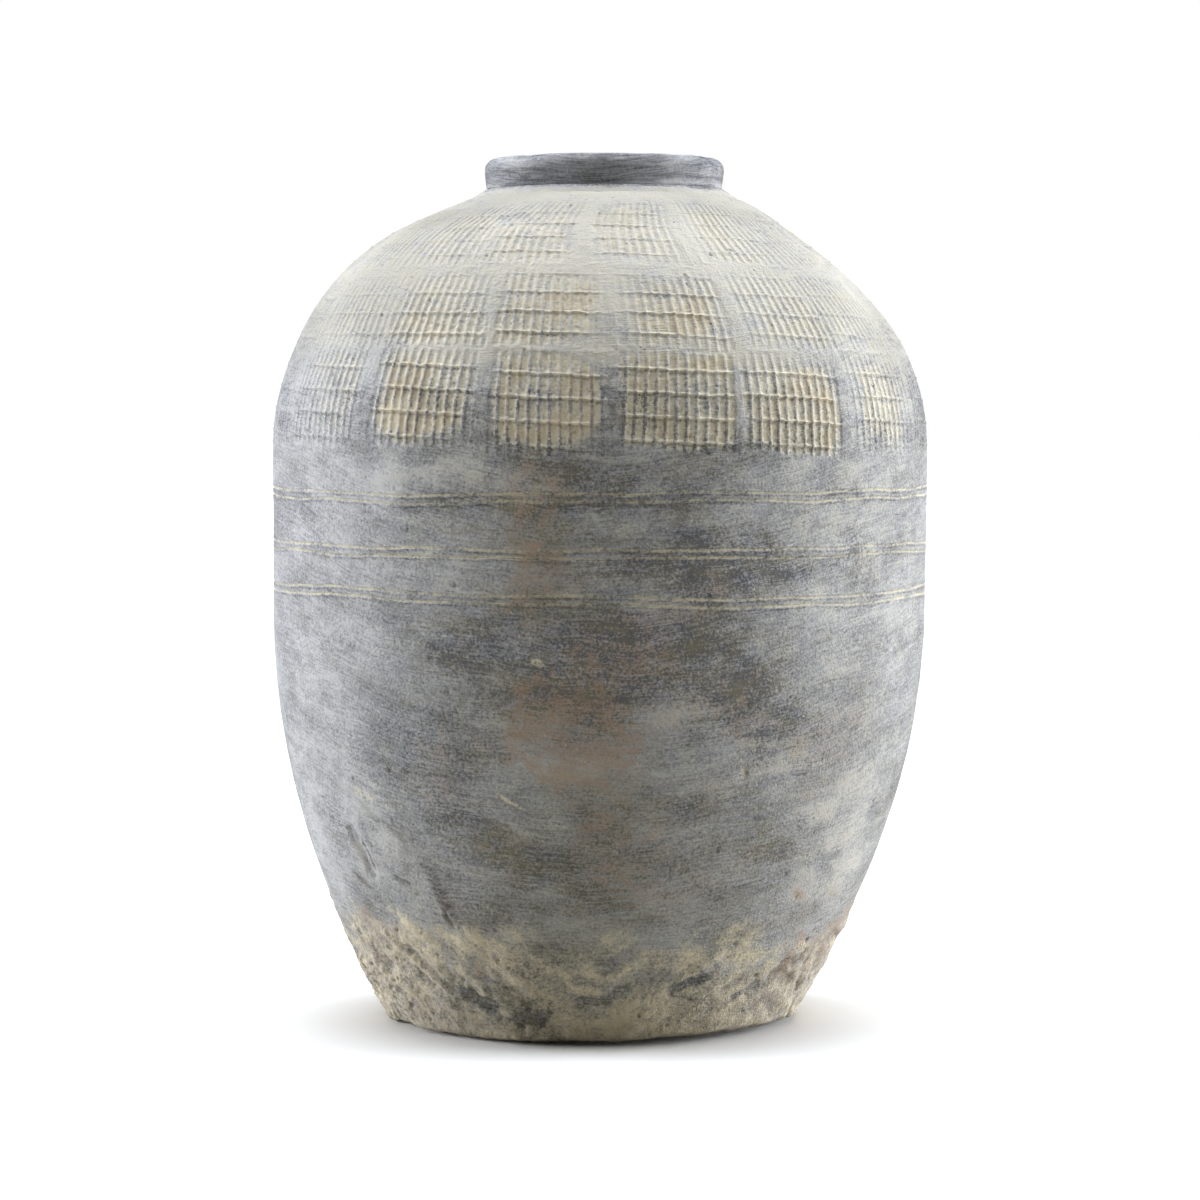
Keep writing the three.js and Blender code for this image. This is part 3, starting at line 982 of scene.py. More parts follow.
def mark(skin, scratches=0, pits=0, low=0, high=0):
    """The front's marks, and seeded scratches and pits over the rest, from low to high along the outline."""
    draw = np.random.default_rng(SEED + 5)
    for start, end, width, depth, dust, shade in FRONT_STROKES:
        skin.stroke(start, end, width, depth, dust, shade=shade)
    chatter(skin)
    for turn, along, size, depth, dust, shade, long in FRONT_DENTS:
        skin.dent(turn, along, size, depth, dust, shade, long)
    for _ in range(scratches):
        turn, along = draw.uniform(60, 300), draw.uniform(low, high)
        end = (turn + draw.uniform(-9, 9), along + draw.uniform(-16, 16))
        width, depth, dust = draw.uniform(1.2, 2.6), draw.uniform(0.2, 0.6), draw.uniform(0, 0.5)
        skin.stroke((turn, along), end, width, depth, dust)
    for _ in range(pits):
        turn, along = draw.uniform(-180, 180), draw.uniform(low, high)
        size, depth = draw.uniform(0.7, 1.5), draw.uniform(0.25, 0.8)
        skin.dent(turn, along, size, depth, draw.choice([0, 0, 0, 0.3]), draw.choice([0, 0.3, 0.6]))


WIDEST = 175  # the belly's radius in mm

# Stamped rows, from the lowest: along their middle, height, width in degrees, share of the cells across,
# offset of the level ridges in cells, and the stamps on the front: the turn, force and rise in mm of each.
# The rest follow at the pitch, round the back.
STAMP_ROWS = (
    (344.5, 53, 21.0, 1.0, -0.2, (
        (-77.5, 0.22, 4.0), (-54.8, 0.4, 3.8), (-31.3, 0.85, 3.0), (-8.2, 1.0, -2.0),
        (13.0, 1.0, 2.6), (34.8, 0.92, 0.0), (58.0, 0.52, -2.0), (80.5, 0.28, -2.0),
    )),
    (395.0, 47, 21.4, 1.0, 0.2, (
        (-75.0, 0.25, 0.0), (-52.5, 0.34, 0.0), (-31.0, 0.62, 0.0), (-8.0, 1.0, 0.0),
        (14.5, 0.88, 0.0), (38.0, 0.54, 0.0), (57.5, 0.38, 0.0), (79.5, 0.28, 0.0),
    )),
    (453.5, 57, 21.8, 0.8, -0.33, (
        (-58.0, 0.4, 0.0), (-36.0, 0.6, 0.0), (-14.5, 0.75, 0.0),
        (11.0, 0.8, 0.0), (36.5, 0.6, 0.0), (58.5, 0.4, 0.0),
    )),
)


def stamp_row(skin, shape, row, rough):
    """Presses one row of stamps round the shoulder, each a little off and unevenly deep."""
    along, tall, wide, share, phase, front = STAMP_ROWS[row]
    cells = round(share * shape.cells_across)
    draw = np.random.default_rng(SEED + 50 + row)
    first, last = front[0][0], front[-1][0]
    rest = round((360 + first - last) / math.degrees(shape.stamp_pitch)) - 1
    gap = (360 + first - last) / (rest + 1)
    places = list(front)
    for i in range(rest):
        places.append((last + gap * (i + 1) + draw.uniform(-1, 1), draw.uniform(0.55, 1.0), 0.0))
    for turn, force, rise in places:
        middle = (turn, along + rise + draw.uniform(-1.2, 1.2))
        shift = phase + draw.uniform(-0.05, 0.05)
        stamp = Stamp(skin, shape, middle, (wide, tall, cells), shift, force, draw, rough)
        stamp.carve(shape.stamp_depth / MM)
        stamp.dust()


class Stamp:
    """One stamp on the shoulder: a grid of flat bars and thin level ridges, set a little askew."""

    TILT = (0.015, 0.06)  # range of its fall to the right, in mm per mm
    LEAN = (-0.03, 0.02)  # range of its lean, in degrees per mm of height
    HEAVY_SIDE, HEAVY_END = (-0.35, 0.35), (-0.35, 0.2)  # ranges of how much harder its right and top bite
    BAR_STRENGTH = (0.72, 1.0)
    SPARE_BARS = 6
    FAINTER = (360, 430)  # along the outline, where stamps get shallower and hold less dust

    def __init__(self, skin, shape, middle, size, phase, force, draw, rough):
        wide, tall, cells = size
        tilt, lean = draw.uniform(*self.TILT), draw.uniform(*self.LEAN)
        heavy_side, heavy_end = draw.uniform(*self.HEAVY_SIDE), draw.uniform(*self.HEAVY_END)
        strength = draw.uniform(*self.BAR_STRENGTH, cells + self.SPARE_BARS)
        spot, across, up = skin.near(*middle, 0.75 * max(tall, math.radians(wide) * WIDEST))
        radius = skin.radius[spot]
        self.skin, self.spot = skin, spot
        self.edge_noise, self.press_noise, self.grains = (rough[k][spot] for k in ("edge", "press", "grit"))
        self.upper = smooth_step(*self.FAINTER, skin.along[spot])
        level = up + tilt * across + 0.45 * self.edge_noise
        half_wide, half_tall = math.radians(wide / 2) * radius, tall / 2
        ends = np.minimum(half_tall + level, 0.45 * (half_tall - level))
        self.edge = np.minimum(half_wide - np.abs(across), ends)
        self.inside = smooth_step(-1.5, 2.5, self.edge + 1.8 * self.edge_noise)
        side, self.end = across / half_wide, level / half_tall
        rim = (np.abs(side) ** 4 + np.abs(self.end) ** 4) ** 0.25
        heavy = 1 + heavy_side * side + heavy_end * self.end
        fading = 1.2 - smooth_step(0.62, 1.2, rim + 0.3 * self.press_noise)
        self.press = np.clip(fading * heavy * force, 0.05, 1)
        askew = np.degrees(across / radius) + lean * up + 0.1 * self.edge_noise
        pitch = math.radians(wide) * radius / cells
        self.set_bars(askew * cells / wide, pitch, shape.bar_width / MM, strength)
        cover = smooth_step(0.05, 0.75, rough["cover"][spot]) * smooth_step(0.5, 0.9, self.press)
        self.bars *= 1 - 0.4 * cover
        cell_height = shape.cell_height / MM
        self.set_rungs(level / cell_height + phase, cell_height, shape.rung_width / MM)

    def set_bars(self, bar, pitch, width, strength):
        """The upright bars, each as strong as it came out, and the lips along their sides."""
        nearest = np.round(bar)
        first = (len(strength) - self.SPARE_BARS) // 2 + 2
        strong = strength[np.clip(nearest.astype(int) + first, 0, len(strength) - 1)]
        apart = np.abs(bar - nearest) * pitch
        half = np.minimum(width / 2, 0.32 * pitch)
        self.bars = (1 - smooth_step(0.5 * half, 1.0 * half, apart)) * strong
        self.lips = hump(apart - 1.15 * half, 0.3 * half) * strong

    def set_rungs(self, rung, cell_height, width):
        """The level ridges, and the painted shade just below each."""
        above = (rung - np.round(rung)) * cell_height
        self.rungs = 1 - smooth_step(0.0, width / 2, np.abs(above) + 0.25 * np.abs(self.edge_noise))
        self.below = hump(above + width * 0.6, width * 0.3)

    def carve(self, depth):
        """Sinks the cells between the bars, and raises the ridges, the lips, the grit and the pushed edge."""
        inside, press, bars, rungs = self.inside, self.press, self.bars, self.rungs
        lift = self.skin.lift
        sunk = depth * inside * (0.2 + 0.8 * press) * (1 - 0.35 * self.upper)
        lift[self.spot] -= sunk * (1 - np.maximum(bars, 0.35 * rungs))
        lift[self.spot] += inside * (0.2 + 0.8 * press) * rungs * (0.8 - 0.25 * self.upper)
        lift[self.spot] += 0.16 * inside * press * self.lips
        lift[self.spot] += 0.26 * inside * press * (1 - bars) * self.grains
        pushed = hump(self.edge + 1.2, 0.9) * np.clip(0.4 + 0.8 * self.edge_noise, 0, 1)
        lift[self.spot] += 0.3 * pushed * (1 - smooth_step(-0.4, 0.6, self.end))

    def dust(self):
        """Leaves chalky dust in the cells and on the ridges, painted shade below them, and the bars
        burnished.
        """
        inside, press, bars, rungs, upper = self.inside, self.press, self.bars, self.rungs, self.upper
        skin, spot = self.skin, self.spot
        grit = np.clip(0.9 + 0.45 * self.grains + 0.25 * self.press_noise, 0, 1)
        left = inside * smooth_step(0.1, 0.95, press) * (1 - 0.92 * bars) * grit
        skin.spread("dust", spot, left * (1 - 0.5 * upper))
        bitten = inside * smooth_step(0.55, 1.1, press + 0.3 * self.press_noise)
        skin.spread("warm", spot, bitten * (0.7 - 0.4 * upper))
        skin.spread("dust", spot, inside * rungs * (0.4 + 0.6 * press) * (0.55 - 0.25 * upper))
        # Painted shade just below each ridge: less dust and film there, and darker
        shaded = inside * self.below * (1 - rungs) * (0.3 + 0.7 * press) * (1 - 0.75 * upper)
        skin.masks["dust"][spot] *= 1 - 0.6 * shaded
        skin.masks["veil"][spot] *= 1 - 0.5 * shaded
        skin.spread("burnish", spot, inside * bars * (0.3 + 0.55 * press) * (1 - 0.7 * upper))
        skin.spread("burnish", spot, 0.6 * shaded)
        skin.spread("veil", spot, 0.5 * inside * press * (1 - 0.6 * bars))
        # Painted shade in the grit of the cells
        skin.spread("pit", spot, 0.25 * inside * press * smooth_step(0.62, 0.9, self.grains) * (1 - bars))


def foot_border(columns):
    """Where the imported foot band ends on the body, along the outline."""
    top = OUTLINE.along_at(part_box("foot_band")[1].z / MM)
    return top + wander(columns, 70, 0.9, 3, 24)


def lifted_foot(turn):
    """How high the uneven foot stands off the floor, in millimetres: the front right is worn away."""
    return 4.2 * hump(turn - 33, 26) + 1.6 * hump(turn - 68, 16) + 1.8 * hump((turn + 150) % 360 - 10, 30)


def foot_hem(columns):
    """The foot's lower edge along the outline."""
    return 0.4 + lifted_foot(turns(columns)) + np.clip(wander(columns, 71, 0.35, 4, 40), -0.3, 2.0)


def twisted(skin, twist, squash):
    """The skin's points, turned more the higher they are, and squashed: noise on them runs aslant."""
    angle = np.radians(skin.turn + twist * skin.along)
    return np.stack([skin.radius * np.sin(angle), -skin.radius * np.cos(angle), skin.along * squash], -1)


# Finger smears on the front of the foot: both ends, width, depth and how much slate they lay bare
FRONT_SMEARS = (
    ((-34, 35), (-25, 21), 11, 1.3, 1.0),
    ((-20, 23), (-12, 13), 19, 0.9, 0.8),
    ((-62, 58), (-41, 16), 7, 1.0, 0.15),
    ((-57, 66), (-39, 30), 5, 0.9, 0.3),
    ((-53, 68), (-36, 33), 4.5, 0.8, 0.3),
    ((-48, 60), (-33, 28), 4, 0.7, 0.2),
    ((-44, 40), (-30, 14), 6, 0.8, 0.15),
    ((-28, 44), (-17, 33), 7, 0.6, 0.5),
    ((18, 35), (28, 43), 8, 1.0, 0.95),
    ((-4, 27), (10, 36), 9, 0.7, 0.8),
    ((36, 26), (43, 34), 6, 0.6, 0.7),
    ((46, 38), (52, 47), 6, 0.7, 0.8),
    ((53, 43), (59, 50), 5, 0.6, 0.6),
)
FOOT_SMEARS = 40
FOOT_PITS = 180
LEFT_PITS = 60


def roughen_foot(skin, shape):
    """Packs the foot with smeared mortar: lumps, finger smears and pits, with a ragged upper edge."""
    size = shape.foot_roughness / MM
    draw = np.random.default_rng(SEED + 80)
    ragged = rough_noise(skin.points, 24, 81, 5)
    turn = skin.turn
    aslant = smooth_step(-14, 8, turn)
    leftward, rightward = (rough_noise(twisted(skin, twist, 0.22), 10, 86, 3) for twist in (0.42, -0.5))
    smear = leftward * (1 - aslant) + rightward * aslant
    border = 60 + 7 * hump(turn + 44, 26) - 8 * hump(turn - 38, 30) + wander(len(turn), 82, 1.4, 2, 9)
    foot = smooth_step(-26, 18, border - skin.along + 11 * ragged + 15 * smear)
    lumps = rough_noise(skin.points, 19, 83, 3)
    crust = np.abs(rough_noise(skin.points, 5, 84, 3))
    left = 0.14 + 0.86 * hump((turn + 84 + 180) % 360 - 180, 17)
    skin.lift += size * foot * (0.5 * lumps + 0.5 * smear + left * (0.4 - 1.2 * crust + 0.6 * lumps))
    low = 1 - smooth_step(9, 24, skin.along + 5 * smear)
    cover = 0.56 + 0.34 * hump(turn + 62, 26) + 0.22 * hump(turn - 32, 20)
    cover = cover + 0.4 * low + 0.3 * ragged + 0.3 * smear
    skin.spread("foot", np.s_[:], foot * np.clip(cover, 0, 1))
    for _ in range(FOOT_SMEARS):
        at, along = draw.uniform(50, 310), draw.uniform(10, 56)
        end = (at + draw.uniform(3, 14), along - draw.uniform(4, 26))
        width, depth = draw.uniform(4, 12), draw.uniform(0.5, 1.3)
        smear_finger(skin, (at, along), end, width, depth, draw.choice([0, 0.2, 0.6]))
    for start, end, width, depth, bare in FRONT_SMEARS:
        smear_finger(skin, start, end, width, depth, bare)
    for _ in range(FOOT_PITS):
        at, along = draw.uniform(-180, 180), draw.uniform(2, 66)
        skin.dent(at, along, draw.uniform(0.6, 1.6), draw.uniform(0.3, 1.1), 0.0, draw.choice([0.2, 0.6]))
    for _ in range(LEFT_PITS):
        at, along = draw.normal(-68, 9), draw.uniform(2, 48)
        wide, depth = draw.uniform(0.6, 1.5), draw.uniform(0.4, 1.2)
        skin.dent(at, along, wide, depth, 0.0, draw.uniform(0.3, 0.8), draw.uniform(0.8, 1.8))


def smear_finger(skin, start, end, width, depth, bare):
    """One finger drawn through the soft mortar, which piles up a rim and lays dark slate bare."""
    skin.stroke(start, end, width, depth, 0.0, curl=0.4)
    spot, run, aside, long = skin.line(start, end, width, 2)
    shape = 1 - smooth_step(0.26, 0.56, np.abs(aside) / width)
    shape *= 1 - smooth_step(0.35, 0.6, np.abs(run) / long)
    skin.masks["foot"][spot] *= 1 - bare * shape
    skin.spread("burnish", spot, 0.7 * bare * shape)


FILLET_REACH = 5.0  # down the shoulder
FILLET_RISE = 0.6  # up the collar


def drawn_out(section):
    """The collar bed's section with its outer face drawn out into a hollow fillet over the joint."""
    outer = int(np.argmax(section[:, 0]))
    radius, height, middle = section[outer]
    tip = section[(outer + 1) % len(section)]
    reach = OUTLINE.along_at(height) - FILLET_REACH
    low_height, low_radius, _ = OUTLINE.at(reach)
    low = (low_radius - 0.1, low_height - 0.3, middle)
    hollow = (radius - 0.6, height + 1.1, middle)
    bend = (tip[0] + 1.6, tip[1] - 0.3, middle)
    high = (tip[0] + 0.75, tip[1] + FILLET_RISE, middle)
    under = (radius - 2.5, height - 1.2, middle)
    back = (tip[0] - 1.5, tip[1] + FILLET_RISE - 0.6, middle)
    return np.array([*section[:outer], under, low, hollow, bend, high, back, *section[outer + 1 :]])


# Points round each piece
BODY_COLUMNS = 1200
SHOULDER_COLUMNS = 1680
COLLAR_COLUMNS = 720
SLAB_COLUMNS = 360
HIDDEN_COLUMNS = 240

STAMPS_FROM = 312  # along the outline, where the rows get fine enough for the stamps
HEM_ROUNDING = 3.5  # reach of the rounding over the foot's lower edge
BORE = 40  # inside this radius the slab and the lining stay plain, so that their middles close flat

# The collar: heights below its top, and turns, where its finish changes
RIM_WEAR = (4.5, 0.5)
HEEL_EDGE = (17.0, 12.5)
PALE_TURN, PALE_WIDTH = 39, 18
CRUMB_TURN, CRUMB_WIDTH = 6, 14


def shell_rows(skin, node, seam):
    """A shell's buried rows, with the coat drawn over the belly joint at its seam, the first or last row."""
    buried = buried_rows(node, len(skin.turn))
    lip = (skin.carved()[seam] - skin.facing[seam] * SEAM_LIP)[None]
    step = lip.copy()
    step[..., 2] = buried[-1 - seam, 0, 2]
    return np.concatenate([buried, step, lip] if seam == 0 else [lip, step, buried])


class VASE_OT_shoulder(bpy.types.Operator):
    """Carve the shoulder with its stamped rows and scored lines"""

    bl_idname = "vase.shoulder"
    bl_label = "Shoulder"
    bl_options = {"REGISTER", "UNDO"}

    def execute(self, context):
        shape = context.scene.vase_shape
        lines = scored_curves(SHOULDER_COLUMNS)
        seam, upper = lines[2], lines[3]
        stations = [
            (seam, LINE_STEP),
            (upper + LINE_REACH, 1.1),
            (lines[4] - LINE_REACH, LINE_STEP),
            (lines[5] + LINE_REACH, 1.0),
            (STAMPS_FROM, 0.58),
            (OUTLINE.length - 8, 1.0),
            (OUTLINE.length, 1.0),
        ]
        skin = outer_skin(SHOULDER_COLUMNS, stations)
        rough = {
            "edge": rough_noise(skin.points, 5, 41, 2),
            "press": rough_noise(skin.points, 26, 43, 2),
            "cover": rough_noise(skin.points, 14, 45, 3),
            "grit": noise(skin.points, 1.7, 46),
        }
        wobble(skin, shape)
        tone(skin)
        for row in range(len(STAMP_ROWS)):
            stamp_row(skin, shape, row, rough)
        score(skin, shape, lines[2:], rough["grit"])
        mark(skin, scratches=14, pits=160, low=270, high=480)
        rows = shell_rows(skin, "shoulder", 0)
        finish = finish_of(rubbed_concrete)
        place_piece("shoulder_carved", skin, rows, finish, ["shoulder"])
        return {"FINISHED"}


class VASE_OT_lower_body(bpy.types.Operator):
    """Carve the lower body with its scored lines, scratches and pits"""

    bl_idname = "vase.lower_body"
    bl_label = "Lower body"
    bl_options = {"REGISTER", "UNDO"}

    def execute(self, context):
        shape = context.scene.vase_shape
        lines = scored_curves(BODY_COLUMNS)
        stations = [
            (foot_border(BODY_COLUMNS), 1.0),
            (80, 0.95),
            (lines[0] - LINE_REACH, LINE_STEP),
            (lines[1] + LINE_REACH, 1.1),
            (lines[2] - LINE_REACH, LINE_STEP),
            (lines[2], LINE_STEP),
        ]
        skin = outer_skin(BODY_COLUMNS, stations)
        grit = noise(skin.points, 1.7, 46)
        wobble(skin, shape)
        tone(skin)
        roughen_foot(skin, shape)
        score(skin, shape, lines[:4], grit)
        mark(skin, scratches=40, pits=320, low=62, high=262)
        rows = shell_rows(skin, "lower_body", -1)
        finish = finish_of(rubbed_concrete)
        place_piece("lower_body_carved", skin, rows, finish, ["lower_body"])
        return {"FINISHED"}


class VASE_OT_foot(bpy.types.Operator):
    """Pack the rough foot band and lay the base slab"""

    bl_idname = "vase.foot"
    bl_label = "Foot"
    bl_options = {"REGISTER", "UNDO"}

    def execute(self, context):
        shape = context.scene.vase_shape
        finish = finish_of(rubbed_concrete)
        hem = foot_hem(BODY_COLUMNS)
        skin = outer_skin(BODY_COLUMNS, [(hem, 0.8), (foot_border(BODY_COLUMNS), 0.8)])
        wobble(skin, shape)
        tone(skin)
        roughen_foot(skin, shape)
        mark(skin)
        rounding = np.clip(1 - (skin.along - hem) / HEM_ROUNDING, 0, 1)
        skin.lift -= 1.6 * rounding * rounding
        buried = buried_rows("foot_band", BODY_COLUMNS)
        place_piece("foot_band_packed", skin, buried, finish, ["foot_band"])
        slab = section_skin(SLAB_COLUMNS, section_of("base_slab"), 1.6, 1.2, open_ends=True)
        slab.lift -= 0.6 * np.abs(rough_noise(slab.points, 9, 91, 3)) * (slab.radius > BORE)
        corner = smooth_step(70, 96, slab.radius) * (1 - smooth_step(3, 9, slab.points[..., 2]))
        slab.lift -= 2.4 * lifted_foot(slab.turn) * corner
        slab.masks["foot"] += np.clip(0.85 + 0.4 * noise(slab.points, 20, 92), 0, 1)
        place_piece("base_slab_cast", slab, None, finish, ["base_slab"], closed=False)
        return {"FINISHED"}


class VASE_OT_collar(bpy.types.Operator):
    """Turn the collar with its worn rim and brush strokes"""

    bl_idname = "vase.collar"
    bl_label = "Collar"
    bl_options = {"REGISTER", "UNDO"}

    def execute(self, context):
        skin = section_skin(COLLAR_COLUMNS, section_of("collar"), 0.8, 0.9)
        skin.lift += 0.45 * noise(skin.points, 34, 101) + 0.22 * noise(skin.points, 11, 102)
        strokes = rough_noise(skin.points * (1, 1, 14), 40, 103, 4)
        skin.lift += 0.14 * strokes
        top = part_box("collar")[1].z / MM
        height = skin.points[..., 2]
        rim = smooth_step(top - RIM_WEAR[0], top - RIM_WEAR[1], height)
        heel = 1 - smooth_step(top - HEEL_EDGE[0], top - HEEL_EDGE[1], height + 1.6 * strokes)
        nicks = smooth_step(0.3, 0.8, rough_noise(skin.points, 8, 104, 2))
        skin.lift -= 0.7 * rim * nicks
        pale = -0.08 + 0.12 * rim + 0.8 * heel + 0.24 * noise(skin.points * (1, 1, 3), 26, 105)
        pale = np.clip(pale + 0.6 * hump(skin.turn - PALE_TURN, PALE_WIDTH), 0, 1)
        skin.masks["smooth"] += 1
        skin.masks["burnish"] += np.clip(0.66 + 0.38 * strokes - 0.7 * pale, 0, 1)
        skin.masks["veil"] += np.clip(0.6 * pale - 0.2 * strokes - 0.08, 0, 1)
        crumbs = 0.4 * hump(skin.turn - CRUMB_TURN, CRUMB_WIDTH)
        dusty = smooth_step(-0.2, 0.7, noise(skin.points, 14, 106) + crumbs)
        skin.masks["dust"] += 0.5 * heel * dusty
        finish = finish_of(rubbed_concrete)
        place_piece("collar_turned", skin, None, finish, ["collar"])
        return {"FINISHED"}


class VASE_OT_mortar(bpy.types.Operator):
    """Fill the joints under the collar, at the belly and over the base"""

    bl_idname = "vase.mortar"
    bl_label = "Mortar beds"
    bl_options = {"REGISTER", "UNDO"}

    def execute(self, context):
        finish = finish_of(joint_mortar)
        bed_section = drawn_out(section_of("collar_mortar_bed"))
        fillet = section_skin(COLLAR_COLUMNS, bed_section, 0.7, 0.7)
        face = smooth_step(-10, -4, fillet.radius - fillet.radius.max())
        wobble(fillet, context.scene.vase_shape)
        fillet.lift *= face
        fillet.lift += 0.25 * face * noise(fillet.points, 6, 111)
        patchy = rough_noise(fillet.points, 14, 114, 2)
        lower = smooth_step(-7.4, -3.6, fillet.radius - fillet.radius.max() + 1.5 * patchy)
        fillet.masks["veil"] += 0.12 + lower * (0.72 + 0.2 * noise(fillet.points, 12, 113))
        fillet.masks["burnish"] += 0.5 * (1 - lower)
        # Painted shade on the fillet's outer face, under the collar
        fillet.masks["painted_shade"] += 0.75 * lower
        fillet.masks["dust"] += 0.35 * smooth_step(0.1, 0.7, patchy)
        skin_finish = finish_of(rubbed_concrete)
        place_piece("collar_mortar_fillet", fillet, None, skin_finish, ["collar_mortar_bed"])
        section = section_of("belly_mortar_bed")
        section[:, 0] = np.minimum(section[:, 0], section[:, 0].max() - SEAM_LIP - LIP_GAP)
        ring = section_skin(HIDDEN_COLUMNS, section, 1.0, 0.2)
        place_piece("belly_mortar_ring", ring, None, finish, ["belly_mortar_bed"])
        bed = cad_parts["base_mortar_bed"]
        bed.data.materials.clear()
        bed.data.materials.append(finish)
        return {"FINISHED"}


class VASE_OT_lining(bpy.types.Operator):
    """Brush the waterproof coat over the inside"""

    bl_idname = "vase.lining"
    bl_label = "Lining"
    bl_options = {"REGISTER", "UNDO"}

    def execute(self, context):
        section = section_of("waterproof_lining")
        skin = section_skin(HIDDEN_COLUMNS, section, 4.0, 0.8, open_ends=True)
        brushed = noise(skin.points * (1, 1, 8), 40, 121) * (skin.radius > BORE)
        skin.lift += 0.25 * brushed
        finish = finish_of(slurry)
        place_piece("lining_brushed", skin, None, finish, ["waterproof_lining"], closed=False)
        return {"FINISHED"}


# Stage

FLOOR_REACH = 30.0
FLOOR_DROP = 0.0004  # just under the foot's roughest points
SENSOR = 36.0
FAR_CLIP = 100.0
EYE_ASIDE = 0.0005  # how far the camera stands to the right

# Lamps: name, the setting that gives its level, its share of that, and degrees of softness, turn and rise
LAMPS = (
    ("left_lamp", "side_light", 1.0, 50, -106, 4),
    ("right_lamp", "side_light", 1.2, 50, 106, 4),
    ("top_lamp", "top_light", 1.0, 56, 180, 85),
)
SUN_UNIT = math.pi  # a lamp of this strength lights a surface that faces it at a plain level


def seen_share(wire):
    """1 for rays that the camera sees directly, in a gloss or through glass, and 0 for the others."""
    path = wire.node("ShaderNodeLightPath")
    outputs = path.socket.node.outputs
    rays = [Wire(wire.tree, outputs[n]) for n in ("Is Camera Ray", "Is Glossy Ray", "Is Transmission Ray")]
    return (rays[0] + rays[1] + rays[2]).rise(0.0, 1.0)


def studio_floor(name):
    """The floor: pale to the camera, and darker to the light that it throws back at the vase."""
    tint = bpy.context.scene.vase_colours
    material, wire = new_finish(name)
    colour = seen_share(wire).blend(solid(tint.bounce), solid(tint.floor))
    shader = wire.node("ShaderNodeBsdfDiffuse", None, {"Color": colour})
    wire.node("ShaderNodeOutputMaterial", None, {"Surface": shader})
    return material


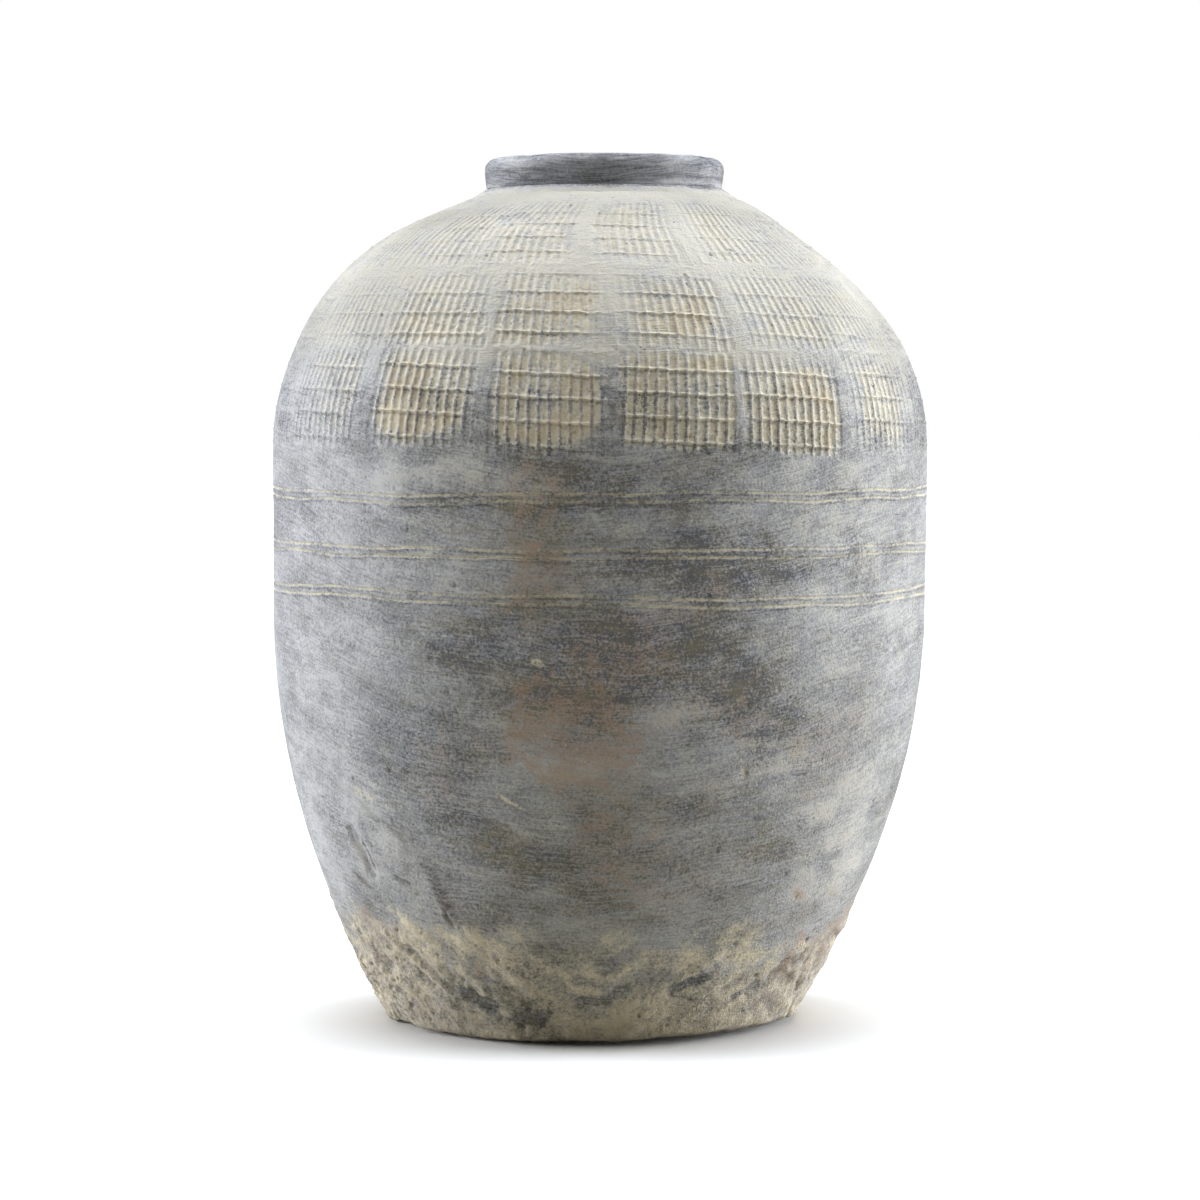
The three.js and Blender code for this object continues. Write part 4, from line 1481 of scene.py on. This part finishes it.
class VASE_OT_stage(bpy.types.Operator):
    """Set up the floor, the lamps, the world and the camera"""

    bl_idname = "vase.stage"
    bl_label = "Stage"
    bl_options = {"REGISTER", "UNDO"}

    def execute(self, context):
        scene = context.scene
        studio = scene.vase_studio
        scene.view_settings.view_transform = "Standard"
        self.lay_floor(scene)
        for name, setting, share, softness, turn, rise in LAMPS:
            direction = (math.radians(turn), math.radians(rise))
            self.hang_lamp(scene, name, getattr(studio, setting) * share, softness, direction)
        self.fill_world(scene, studio.fill_light)
        self.aim_camera(scene, studio)
        return {"FINISHED"}

    def lay_floor(self, scene):
        """One wide, level face."""
        mesh = bpy.data.meshes.new("studio_floor")
        far = FLOOR_REACH
        corners = [(-far, -far, 0), (far, -far, 0), (far, far, 0), (-far, far, 0)]
        mesh.from_pydata(corners, [], [(0, 1, 2, 3)])
        mesh.materials.append(finish_of(studio_floor))
        floor = bpy.data.objects.new("studio_floor", mesh)
        floor.location.z = -FLOOR_DROP
        scene.collection.objects.link(floor)

    def hang_lamp(self, scene, name, level, softness, direction):
        """A broad, far lamp: its direction is the turn from the front and the height above level."""
        lamp = bpy.data.lights.new(name, "SUN")
        lamp.energy = level * SUN_UNIT
        lamp.color = scene.vase_colours.lamp
        lamp.angle = math.radians(softness)
        turn, rise = direction
        hung = bpy.data.objects.new(name, lamp)
        flat = math.cos(rise)
        towards = Vector((math.sin(turn) * flat, -math.cos(turn) * flat, math.sin(rise)))
        hung.rotation_euler = towards.to_track_quat("Z", "Y").to_euler()
        scene.collection.objects.link(hung)

    def fill_world(self, scene, level):
        """A world that is white to the camera and lights the vase at a low level."""
        world = bpy.data.worlds.new("studio")
        world.use_nodes = True
        world.node_tree.nodes.clear()
        wire = Wire(world.node_tree)
        strength = seen_share(wire) * (1.0 - level) + level
        white = {"Color": (1.0, 1.0, 1.0, 1.0), "Strength": strength}
        shade = wire.node("ShaderNodeBackground", None, white)
        wire.node("ShaderNodeOutputWorld", None, {"Surface": shade})
        scene.world = world

    def aim_camera(self, scene, studio):
        """A camera in front of the vase, looking a little down."""
        lens = bpy.data.cameras.new("front_camera")
        lens.lens = studio.lens
        lens.sensor_width = SENSOR
        lens.clip_end = FAR_CLIP
        camera = bpy.data.objects.new("front_camera", lens)
        camera.location = (EYE_ASIDE, -studio.distance, studio.eye_height)
        camera.rotation_euler = (math.radians(90) - studio.tilt, 0.0, 0.0)
        scene.collection.objects.link(camera)
        scene.camera = camera


OPERATORS = (
    VASE_OT_stage,
    VASE_OT_shoulder,
    VASE_OT_lower_body,
    VASE_OT_foot,
    VASE_OT_collar,
    VASE_OT_mortar,
    VASE_OT_lining,
)


class VASE_PT_sidebar(bpy.types.Panel):
    """Lists the vase's settings and steps"""

    bl_label = "Concrete vase"
    bl_idname = "VASE_PT_sidebar"
    bl_space_type = "VIEW_3D"
    bl_region_type = "UI"
    bl_category = "Vase"

    def draw(self, context):
        layout = self.layout
        for settings in (context.scene.vase_shape, context.scene.vase_colours, context.scene.vase_studio):
            for name in settings.__annotations__:
                layout.prop(settings, name)
        for operator in OPERATORS:
            layout.operator(operator.bl_idname)


CLASSES = (VaseShape, VaseColours, VaseStudio, *OPERATORS, VASE_PT_sidebar)


def register():
    """Adds the classes and the scene's settings."""
    for made in CLASSES:
        bpy.utils.register_class(made)
    bpy.types.Scene.vase_shape = PointerProperty(type=VaseShape)
    bpy.types.Scene.vase_colours = PointerProperty(type=VaseColours)
    bpy.types.Scene.vase_studio = PointerProperty(type=VaseStudio)


def unregister():
    """Takes away what register added."""
    del bpy.types.Scene.vase_studio
    del bpy.types.Scene.vase_colours
    del bpy.types.Scene.vase_shape
    for made in reversed(CLASSES):
        bpy.utils.unregister_class(made)


def main():
    """Builds the vase on its stage."""
    register()
    bpy.ops.vase.stage()
    bpy.ops.vase.shoulder()
    bpy.ops.vase.lower_body()
    bpy.ops.vase.foot()
    bpy.ops.vase.collar()
    bpy.ops.vase.mortar()
    bpy.ops.vase.lining()


if __name__ == "__main__":
    main()
